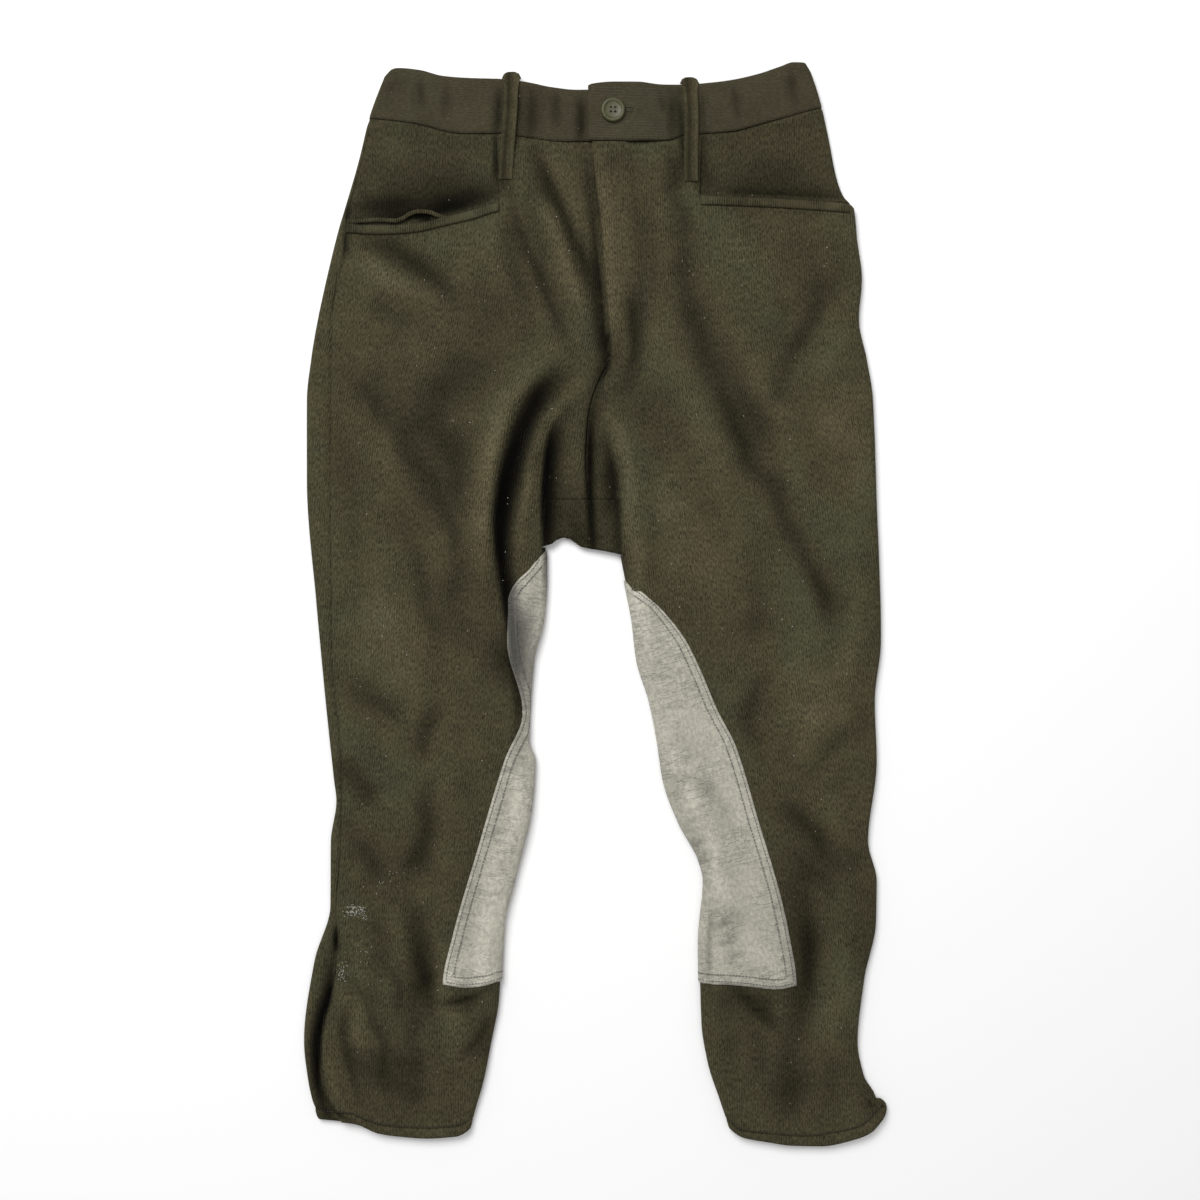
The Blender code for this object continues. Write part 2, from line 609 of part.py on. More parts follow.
# Columns: x and depth of the top, x and depth of the bottom
BELT_LOOPS = {"right": ((-68, 8.2), (-72, 95.5)), "left": ((76, 12.5), (78.6, 97))}


def make_loop(name, look):
    """Belt loop: sewn below the seam, free over the band, folded over above its top edge."""
    (top_x, top_d), (foot_x, foot_d) = BELT_LOOPS[name]
    across = np.array([top_x - LOOP_WIDTH / 2, top_x, top_x + LOOP_WIDTH / 2])
    band_top = float((BAND_TOP_LEFT if name == "left" else BAND_TOP_RIGHT)(across).min()) - GAP
    seam = float(WAIST_SEAM(np.array(foot_x)))
    face = BAND_FACE + LOOP_WALL + GAP
    fold_radius = 1.9
    lay_height = float(relief(np.array([foot_x * 1.0]), np.array([foot_d - 6]))[0]) + LOOP_WALL + GAP
    # Columns: depth, height of the outer face
    route = [(foot_d, lay_height), (foot_d - 8, lay_height + 0.2), (foot_d - 16, lay_height + 1.2),
             (seam + 4, face + LOOP_LIFT - 0.6), (seam - 12, face + LOOP_LIFT), (seam - 24, face + LOOP_LIFT),
             (band_top + 12, face + 1.6), (band_top + 3, face + 0.6), (band_top - 2, face)]
    centre_d, centre_z = top_d + fold_radius, face - fold_radius
    for turn in (20, 55, 90, 125, 160):
        angle = math.radians(turn)
        route.append((centre_d - fold_radius * math.sin(angle), centre_z + fold_radius * math.cos(angle)))
    route.append((band_top - GAP, centre_z - fold_radius))
    bm = bmesh.new()
    bmesh.ops.create_grid(bm, x_segments=2, y_segments=len(route) - 1, size=0.5)
    for vert in bm.verts:
        row = round((0.5 - vert.co.y) * (len(route) - 1))
        depth, height = route[row]
        share = (depth - top_d) / (foot_d - top_d)
        x = top_x + (foot_x - top_x) * share + vert.co.x * LOOP_WIDTH
        vert.co = (x, LENGTH / 2 - depth, height)
    bm.normal_update()
    if sum(face.normal.z * face.calc_area() for face in bm.faces) < 0:
        bmesh.ops.reverse_faces(bm, faces=bm.faces)
    finish("belt_loop_" + name, bm, look, LOOP_WALL)


def make_button(look):
    """Sewn button with a raised rim and four holes, turned from its profile."""
    x, depth = BUTTON_AT
    base = BAND_FACE + BAND + 2 * GAP
    radius = BUTTON_ACROSS / 2
    # Columns: distance from the axis, height
    profile = [(0, 0), (radius - 1.2, 0), (radius, 1.2), (radius, 2.4), (radius - 0.8, BUTTON_THICK),
               (radius - 2.0, BUTTON_THICK), (radius - 3.2, 2.5), (0, 2.3)]
    bm = bmesh.new()
    verts = [bm.verts.new((r, 0, z)) for r, z in profile]
    edges_made = [bm.edges.new(pair) for pair in zip(verts, verts[1:])]
    bmesh.ops.spin(bm, geom=verts + edges_made, cent=(0, 0, 0), axis=(0, 0, 1), angle=2 * math.pi,
                   steps=28, use_merge=True)
    bmesh.ops.remove_doubles(bm, verts=bm.verts, dist=0.001)
    bmesh.ops.recalc_face_normals(bm, faces=bm.faces)
    bmesh.ops.translate(bm, verts=bm.verts, vec=(x, LENGTH / 2 - depth, base))
    made = finish("waist_button", bm, look)
    for number in range(4):
        angle = math.radians(45 + 90 * number)
        bore = bmesh.new()
        bmesh.ops.create_cone(bore, cap_ends=True, segments=10, radius1=HOLE_ACROSS / 2,
                              radius2=HOLE_ACROSS / 2, depth=4 * BUTTON_THICK)
        spot = (x + HOLE_SPACING / 2 * math.sqrt(2) * math.cos(angle),
                LENGTH / 2 - depth + HOLE_SPACING / 2 * math.sqrt(2) * math.sin(angle), base)
        bmesh.ops.translate(bore, verts=bore.verts, vec=spot)
        bmesh.ops.scale(bore, verts=bore.verts, vec=(MM, MM, MM))
        mesh = bpy.data.meshes.new(f"hole_{number}")
        bore.to_mesh(mesh)
        bore.free()
        cutter = bpy.data.objects.new(f"hole_{number}", mesh)
        cutter.hide_render = True
        cutter.display_type = "WIRE"
        cutters.objects.link(cutter)
        cut = made.modifiers.new(f"hole_{number}", "BOOLEAN")
        cut.object = cutter
        cut.operation = "DIFFERENCE"


for old in list(bpy.data.objects):
    bpy.data.objects.remove(old, do_unlink=True)
breeches = bpy.data.collections.new("riding_breeches")
bpy.context.scene.collection.children.link(breeches)
cutters = bpy.data.collections.new("cutters")
bpy.context.scene.collection.children.link(cutters)

wool = material("brown_wool", (0.045, 0.038, 0.022), 0.95)
band_wool = material("waistband_wool", (0.062, 0.052, 0.03), 0.95)
suede = material("grey_suede", (0.37, 0.35, 0.29), 0.9)
horn = material("olive_button", (0.10, 0.10, 0.052), 0.35)

for name, leg in (("right", RIGHT_LEG), ("left", LEFT_LEG)):
    front_grid = make_front(leg, name, wool)
    make_yoke(leg, name, wool)
    make_welt(leg, name, wool)
    make_gusset(leg, name, wool)
    make_patch(leg, name, suede, front_grid)
    back = make_back(leg, name, wool)
    make_hems(leg, name, wool, back)
    make_waistband(leg, name, band_wool)
    make_loop(name, band_wool)
make_waistband_back(band_wool)
make_button(horn)
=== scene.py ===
"""Riding breeches laid flat: the cloth, its creases, sewing and button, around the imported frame.

Sizes are in millimetres unless a name says otherwise. Depth is measured down the garment from its
highest point, and out from its middle line to a leg's outside. The wearer's left leg is at +X.
"""
import math

import bmesh
import bpy
import numpy as np
from mathutils import Matrix, Vector


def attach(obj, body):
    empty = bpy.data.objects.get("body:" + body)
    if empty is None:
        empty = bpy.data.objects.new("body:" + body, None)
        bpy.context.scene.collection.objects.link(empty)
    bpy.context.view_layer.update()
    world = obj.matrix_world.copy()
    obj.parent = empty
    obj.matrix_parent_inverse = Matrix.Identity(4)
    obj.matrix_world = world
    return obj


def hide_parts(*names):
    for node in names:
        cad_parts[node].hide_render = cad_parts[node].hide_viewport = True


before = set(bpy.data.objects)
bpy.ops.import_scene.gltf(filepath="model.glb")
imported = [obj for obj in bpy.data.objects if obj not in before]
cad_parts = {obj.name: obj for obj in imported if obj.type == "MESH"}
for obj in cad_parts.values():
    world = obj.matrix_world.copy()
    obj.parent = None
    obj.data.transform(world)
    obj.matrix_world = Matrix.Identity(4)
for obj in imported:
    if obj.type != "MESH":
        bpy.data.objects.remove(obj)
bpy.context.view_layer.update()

MM = 0.001
LENGTH = 879.0  # the whole garment, top to foot
GAP = 0.3  # between pieces
SEWN = 0.06  # at gusset and hem seams
CLOTH = 2.0  # wall of the wool
LAID = 7.5  # height of the front's face where it has no fold
LOWEST = 4.5  # that the face goes down to in a fold
HIGHEST = 19.0  # that it comes up to
EDGE_TURN = 12.0  # how much of out goes into the turn round an edge
EDGE_READ = 5.0  # how far inside an edge its height is read
BAND = 3.0  # wall of the waistband
BAND_FACE = 8.2  # height of the waistband's face
BAND_UNDER = 12.0  # how far its front runs on beneath
TAB_END = -6.0  # x where the lapping tab ends
TAB_FLAT = 36.0  # x where its lift starts to fade
TAB_SEAM = 60.0  # x where its lift has gone
BAND_RIGHT_END = 30.0  # x where the right half ends, beneath the tab
LOOP_WALL = 1.6
LOOP_WIDTH = 11.6
LOOP_STEPS = 15  # places across a belt loop
LOOP_LIFT = 2.6  # how far a loop stands off the waistband
LOOP_FOLD = 1.9  # radius of the fold at its top
BUTTON_AT = (14.3, 40.4)
BUTTON_RADIUS = 9.8
HOLE = 1.1  # radius
HOLE_APART = 1.75  # from the button's middle lines
POCKET_DROP = CLOTH + GAP  # of the yoke beneath the front
WELT = 1.4  # wall of the pocket welt
WELT_DEEP = 7.0  # depth of its lower edge below the mouth's line
FLY_LIFT = CLOTH + 0.8  # of the left front over the right one
FLY_FACING = 24.0  # width that it keeps its lift for
SIDE_UNDER = 20.0  # how far the left front runs on beneath
VENT_TOP = 684.0  # depth where the vent of the right leg starts
VENT_DROP = CLOTH + 2 * GAP
VENT_LAP = 8.0  # how far the back runs on beneath it
HEM = 2.4  # wall of a hem
CROTCH_SEAM = 354.5  # depth of the cross seam
CENTRE_BACK = -4.5  # x of the seam between the backs
INSEAM = 9.0  # how far inside the inner edge it lies, beneath
PATCH = 1.2  # wall of a knee patch
PATCH_OUT = PATCH + GAP  # from the front's face to the patch's
PATCH_UNDER = 24.0  # how far a patch runs on beneath
PATCH_FADE = 12.0  # over which its bed in the underside ends
PATCH_FOOT = 749.0  # depth
PATCH_STITCHES = (2.7, 8.2)  # from the patch's border
HIP = 191.5  # depth of one level of the grids
RIB = 1.9  # from one rib of the wool to the next
PLY = 1


def line(rows):
    """A smooth curve through rows of (place, value), with no overshoot between them."""
    at, value = np.array(rows, dtype=float).T
    slope = np.diff(value) / np.diff(at)
    product = slope[1:] * slope[:-1]
    total = np.where(product > 0, slope[1:] + slope[:-1], 1)
    tangent = np.concatenate(([slope[0]], np.where(product > 0, 2 * product / total, 0), [slope[-1]]))

    def read(where):
        where = np.clip(where, at[0], at[-1])
        k = np.clip(np.searchsorted(at, where) - 1, 0, len(at) - 2)
        step = at[k + 1] - at[k]
        t = (where - at[k]) / step
        near = (1 + 2 * t) * (1 - t) ** 2 * value[k] + t * (1 - t) ** 2 * step * tangent[k]
        far = t * t * (3 - 2 * t) * value[k + 1] + t * t * (t - 1) * step * tangent[k + 1]
        return near + far

    return read


def fade(value, start, end):
    """0 before start, 1 after end, and a soft rise between them."""
    t = np.clip((value - start) / (end - start), 0, 1)
    return t * t * (3 - 2 * t)


# Columns: depth, out
RIGHT_LEG = {
    "side": -1,
    "outer": line([(1, 160), (5.5, 166), (9, 170), (15.5, 173), (45.5, 184), (77.5, 192), (142.5, 210.5),
                   (208, 225.5), (240.5, 231), (273, 234.5), (338, 234.5), (436, 227), (582.5, 212.5),
                   (599, 210.5), (631.5, 215), (684.5, 215.5), (729.5, 228.5), (794.5, 237), (827, 233.5),
                   (863, 224.5)]),
    "seam": line([(45.5, 183), (77.5, 190.5), (136, 202.5), (156.5, 203.5), (179.5, 210), (213.5, 214),
                  (297.5, 215), (478.5, 214), (573, 206), (627.5, 206.5), (684.5, 210), (721.5, 209),
                  (778.5, 219.5), (803, 222), (823, 220.5), (839.5, 218), (850, 211.5), (870, 200)]),
    "pocket": line([(58, 80.5), (114, 78), (191.5, 84.5), (273, 102.5), (354.5, 114.5), (517.5, 128),
                    (684.5, 146), (770, 151), (879, 151)]),
    "patch": line([(58, 52), (151, 44), (216, 40), (287.5, 50), (354.5, 56), (392, 49), (402, 48),
                   (409, 52), (420.5, 62.5), (430, 69), (436, 71), (468.5, 71.5), (527.5, 59), (567, 74),
                   (641.5, 96.5), (707.5, 115.5), (746.5, 123.5), (879, 126)]),
    "inner_upper": line([(58, 30), (151, 18), (216, 10), (256.5, 12), (276.5, 17), (287.5, 23), (305.5, 31),
                         (330, 38.5), (354.5, 40.5), (379, 43)]),
    "inner": line([(393.5, 40.5), (419.5, 40.5), (452.5, 43), (485, 51), (550, 55), (566.5, 50),
                   (599, 52), (664, 66.5), (697, 74.5), (762, 78.5), (794.5, 84.5), (827, 91),
                   (851.5, 98), (872, 103)]),
    "crotch": 393.5,
    "patch_top": 396.0,
    "patch_foot": line([(-125, 747), (-104.5, 750), (-91.5, 748), (-79.5, 745)]),
    "mouth": line([(-206, 131), (-177.5, 132.5), (-159.5, 132), (-143, 130.5), (-122, 125.5),
                   (-98, 120), (-78, 114), (-4.5, 110)]),
    "hem_seam": line([(-229.5, 848.5), (-216.5, 852), (-200, 852.5), (-183, 859), (-168.5, 862.5),
                      (-139, 864.5), (-113, 863), (-99, 857)]),
    "hem": line([(-226, 857.5), (-210, 859), (-194.5, 861), (-175.5, 868.5), (-159.5, 871),
                 (-138, 872.5), (-113, 871), (-99, 864)]),
}

LEFT_LEG = {
    "side": 1,
    "outer": line([(1, 171.5), (5.5, 174), (38.5, 184.5), (61, 189.5), (93.5, 196), (108, 201.5),
                   (118, 210), (142.5, 212.5), (175, 216.5), (208, 214), (240.5, 220.5), (273, 225.5),
                   (354.5, 228.5), (468.5, 232), (517.5, 227), (566.5, 228.5), (631.5, 221.5), (664, 228.5),
                   (697, 228), (745.5, 218), (794.5, 213), (822, 218), (836, 227), (847, 236.8),
                   (856, 235), (866, 228), (879, 218)]),
    "pocket": line([(58, 86), (112.5, 85), (191.5, 89), (273, 101.5), (354.5, 118), (517.5, 140.5),
                    (684.5, 163), (770, 171), (879, 172)]),
    "patch": line([(58, 56), (191.5, 60), (273, 50), (354.5, 46), (405, 33), (423, 31.5), (432, 40),
                   (442, 52), (468.5, 73), (492.5, 85), (525.5, 99), (554, 113.5), (616.5, 132.5),
                   (674, 149.5),
                   (705, 156.5), (748, 163), (879, 164)]),
    "inner_upper": line([(58, 27), (191.5, 34), (242, 34), (256.5, 28), (273, 17.5), (293.5, 8),
                         (318, 14.5), (354.5, 20), (379, 22)]),
    "inner": line([(393.5, 19), (419.5, 24), (452.5, 30.5), (485, 34.5), (517.5, 44.5), (550, 51),
                   (582.5, 56), (615.5, 68), (648, 85), (664, 88.5), (713, 84.5), (778.5, 86),
                   (811, 91), (843.5, 101.5), (860, 107), (879, 112)]),
    "crotch": 400.0,
    "patch_top": 420.0,
    "patch_foot": line([(85, 746), (123, 749), (147, 751.5), (165, 748)]),
    "mouth": line([(-4.5, 107), (85, 108.5), (150.5, 111), (210, 115.5)]),
    "hem_seam": line([(107, 857.5), (118, 866), (142, 869), (171.5, 871), (194.5, 868), (211.5, 864),
                      (220.5, 859), (227, 852), (232, 847)]),
    "hem": line([(107, 864), (120, 872), (142, 876), (160, 878.5), (183, 879), (211.5, 873),
                 (225, 867), (232, 860), (237, 854)]),
}

# Columns: x, depth
WAIST_SEAM = line([(-184, 45.5), (-148, 49.5), (-108, 58), (-78, 58), (-57.5, 61), (-25, 64.5), (24, 64.5),
                   (59, 63.5), (72, 59.5), (112, 56), (130, 51.5), (157, 44), (186, 36)])
BAND_TOP_RIGHT = line([(-170.5, 9), (-166, 5.5), (-159.5, 5), (-143, 6.5), (-123.5, 11.5), (-104, 13),
                       (-74.5, 14), (-55, 16.5), (-35.5, 20.5), (-16, 22.5), (29.5, 21.5)])
BAND_TOP_LEFT = line([(-6, 20), (-3, 18.5), (13.5, 17), (33, 17), (52.5, 18.5), (72, 18.5), (91.5, 17),
                      (111, 14.5), (131, 10), (150.5, 3.5), (160, 0.3), (170, 0.6), (174, 5.5)])
CROTCH_EDGE = line([(-49, 393.5), (-41, 392), (-35.5, 390.5), (-28, 385), (-21, 386.5), (-11, 393),
                    (3.5, 395.5), (18.5, 398.5), (22, 399.5), (30, 400)])
WAIST_SEAM_BACK = line([(-184, 45.5), (-148, 49.5), (-100, 57.5), (-50, 63.5), (0, 65.5), (50, 64),
                        (100, 57.5), (130, 51.5), (157, 44), (186, 36)])
# Columns: depth, x
FLY_EDGE = line([(55, -3.5), (93.5, -0.5), (128, 4), (173.5, 7.5), (221.5, 11), (240, 12), (253.5, 5.5),
                 (276.5, -3.5), (287.5, -5.5), (322, -7.5), (356, -5), (379, -1.5), (400, -0.5)])
FLY_UNDERLAP = line([(55, 22), (205, 22), (235, 12), (250, 0), (400, 0)])

# Folds and creases. Columns: half width, height, and the points (x, depth) that it runs through
FOLDS = [
    # Waist, fly and seat of the right side
    (7, -1.8, [(-54, 66), (-45, 90), (-34, 124)]),
    (8, -3.2, [(-46, 74), (-34, 104), (-18, 145), (-6, 184), (3, 222), (8, 242)]),
    (7, -2.2, [(-56, 80), (-50, 130), (-40, 180), (-22, 224)]),
    (9, 2.2, [(-44, 66), (-28, 100), (-16, 140)]),
    (10, 2.6, [(-32, 116), (-22, 165), (-8, 205)]),
    (8, -1.6, [(-72, 118), (-68, 160), (-60, 200)]),
    (12, 2.0, [(-82, 128), (-80, 170), (-72, 214)]),
    # Yoke and pocket of the right side
    (20, -1.4, [(-186, 122), (-150, 118), (-96, 104)]),
    (14, 1.4, [(-176, 66), (-140, 76), (-100, 74)]),
    (9, -2.6, [(-192, 144), (-156, 160), (-126, 174), (-111, 200)]),
    (12, 2.4, [(-196, 160), (-160, 186), (-118, 212), (-92, 222)]),
    (9, -1.6, [(-186, 190), (-166, 204), (-140, 214)]),
    # Thigh of the right side
    ((3, 9), -5.2, [(-30, 258), (-43, 264), (-56, 281), (-67, 303), (-76, 343), (-79, 377), (-75, 408),
                    (-71, 440), (-66, 478)]),
    ((18, 7), 5.0, [(-10, 238), (-36, 246), (-60, 266), (-76, 292), (-86, 336), (-90, 378), (-93, 420),
                    (-98, 450)]),
    (8, 6.4, [(-10, 262), (-26, 280), (-41, 300), (-53, 328), (-60, 363), (-62, 403), (-60, 450),
              (-64, 500)]),
    (14, -2.4, [(-74, 224), (-100, 244), (-122, 272), (-138, 304)]),
    (12, 1.8, [(-120, 226), (-148, 254), (-160, 300)]),
    (10, -3.0, [(-198, 258), (-176, 284), (-150, 318), (-130, 352), (-116, 388)]),
    (5, -1.6, [(-128, 356), (-116, 386), (-112, 404)]),
    (12, 2.2, [(-190, 300), (-166, 340), (-150, 382)]),
    (9, -2.2, [(-162, 346), (-150, 390), (-138, 432), (-126, 484)]),
    (10, 2.4, [(-136, 380), (-126, 424), (-116, 470)]),
    (12, 1.6, [(-186, 386), (-178, 430), (-168, 476)]),
    (12, -1.4, [(-200, 330), (-196, 380), (-184, 430)]),
    # Knee and calf of the right side
    (9, -2.2, [(-204, 492), (-186, 508), (-170, 524), (-152, 548)]),
    (9, 2.0, [(-196, 526), (-172, 544), (-158, 566)]),
    (7, -1.8, [(-142, 530), (-136, 546), (-136, 566)]),
    (7, -1.6, [(-122, 510), (-130, 530), (-138, 548)]),
    (9, -1.8, [(-202, 566), (-190, 584), (-172, 596)]),
    (10, 2.0, [(-128, 548), (-120, 590), (-122, 634), (-126, 676)]),
    (9, -2.6, [(-134, 584), (-133, 612), (-142, 642), (-152, 664)]),
    (9, -1.8, [(-196, 628), (-182, 648), (-168, 668)]),
    (9, -2.6, [(-162, 672), (-146, 694), (-139, 722), (-138, 756), (-148, 788), (-160, 800)]),
    (8, 1.6, [(-168, 700), (-156, 730), (-152, 764)]),
    (8, -2.0, [(-204, 742), (-186, 752), (-168, 768)]),
    (9, 2.4, [(-118, 752), (-112, 790), (-114, 826)]),
    (8, -2.0, [(-100, 764), (-92, 790), (-96, 816)]),
    (9, -2.2, [(-202, 812), (-180, 824), (-150, 838), (-138, 844)]),
    (8, 1.8, [(-196, 786), (-176, 800), (-160, 818)]),
    (8, 3.6, [(-66, 520), (-64, 586), (-80, 656), (-92, 736), (-98, 796), (-106, 838)]),
    # Crotch
    (19, -3.0, [(-14, 290), (-16, 340), (-10, 396)]),
    ((3.5, 4), -3.0, [(-4, 288), (-4.5, 330), (-3, 394)]),
    ((2.5, 8), -3.0, [(-33, 298), (-38, 314), (-39, 345), (-38, 388)]),
    (8, 2.0, [(-21, 282), (-20, 330), (-22, 386)]),
    (7, -1.4, [(8, 322), (12, 350), (12, 380)]),
    (9, 5.4, [(10, 284), (20, 306), (28, 344), (32, 386), (38, 436), (46, 482)]),
    # Fly and waist of the left side
    (7, -2.4, [(62, 60), (64, 92), (70, 128), (72, 152)]),
    (8, -1.8, [(92, 68), (88, 96), (84, 112)]),
    (8, -2.2, [(34, 190), (36, 225), (31, 256), (16, 278)]),
    (10, 1.8, [(20, 100), (24, 160), (26, 215)]),
    (11, 2.2, [(50, 90), (52, 150), (52, 214), (44, 262)]),
    # Hip and thigh of the left side
    (18, -1.2, [(92, 102), (130, 104), (180, 106)]),
    (14, 1.3, [(110, 76), (140, 72), (166, 66)]),
    (9, -3.6, [(70, 120), (74, 170), (80, 212), (98, 262), (112, 300), (130, 330), (148, 350), (162, 384),
               (180, 430), (194, 470)]),
    (6, -2.0, [(104, 270), (114, 300), (126, 324)]),
    (6, -2.2, [(170, 408), (182, 434), (192, 462)]),
    (13, 3.2, [(56, 170), (62, 226), (80, 280), (98, 322), (112, 372), (120, 440)]),
    (12, 2.6, [(106, 196), (124, 246), (146, 292), (164, 328), (184, 372)]),
    (9, -2.6, [(204, 170), (184, 196), (164, 228), (150, 258), (138, 290)]),
    (9, 1.8, [(206, 214), (188, 244), (176, 276)]),
    (9, -1.6, [(150, 180), (152, 204), (140, 232)]),
    (12, 1.8, [(96, 390), (104, 430), (116, 470)]),
    (10, -1.8, [(132, 410), (134, 440), (126, 476)]),
    (10, 2.2, [(206, 404), (212, 446), (206, 486), (196, 520)]),
    # Knee and calf of the left side
    (8, -2.6, [(136, 486), (130, 512), (124, 536), (134, 566)]),
    (9, 2.6, [(190, 510), (176, 534), (170, 556), (184, 572)]),
    (8, -1.8, [(204, 540), (190, 556), (172, 584)]),
    (8, -2.8, [(150, 596), (166, 612), (182, 634), (198, 668)]),
    (8, 2.2, [(172, 590), (190, 610), (204, 636)]),
    (7, -2.0, [(170, 648), (184, 664), (202, 682)]),
    (9, -4.2, [(172, 688), (176, 716), (177, 746), (170, 784)]),
    (6, -1.6, [(172, 712), (174, 742), (172, 766)]),
    (9, 3.0, [(198, 700), (203, 742), (198, 790)]),
    (8, 2.2, [(148, 770), (146, 800), (140, 836)]),
    (8, -2.2, [(118, 754), (136, 772), (150, 792), (156, 820)]),
    (8, -1.8, [(158, 820), (160, 840), (170, 860)]),
    (8, 1.6, [(176, 790), (178, 820), (186, 846)]),
    (8, 3.4, [(52, 500), (66, 560), (80, 608), (98, 654), (98, 738), (100, 800)]),
    (7, -1.6, [(100, 772), (108, 800), (112, 834)]),
]

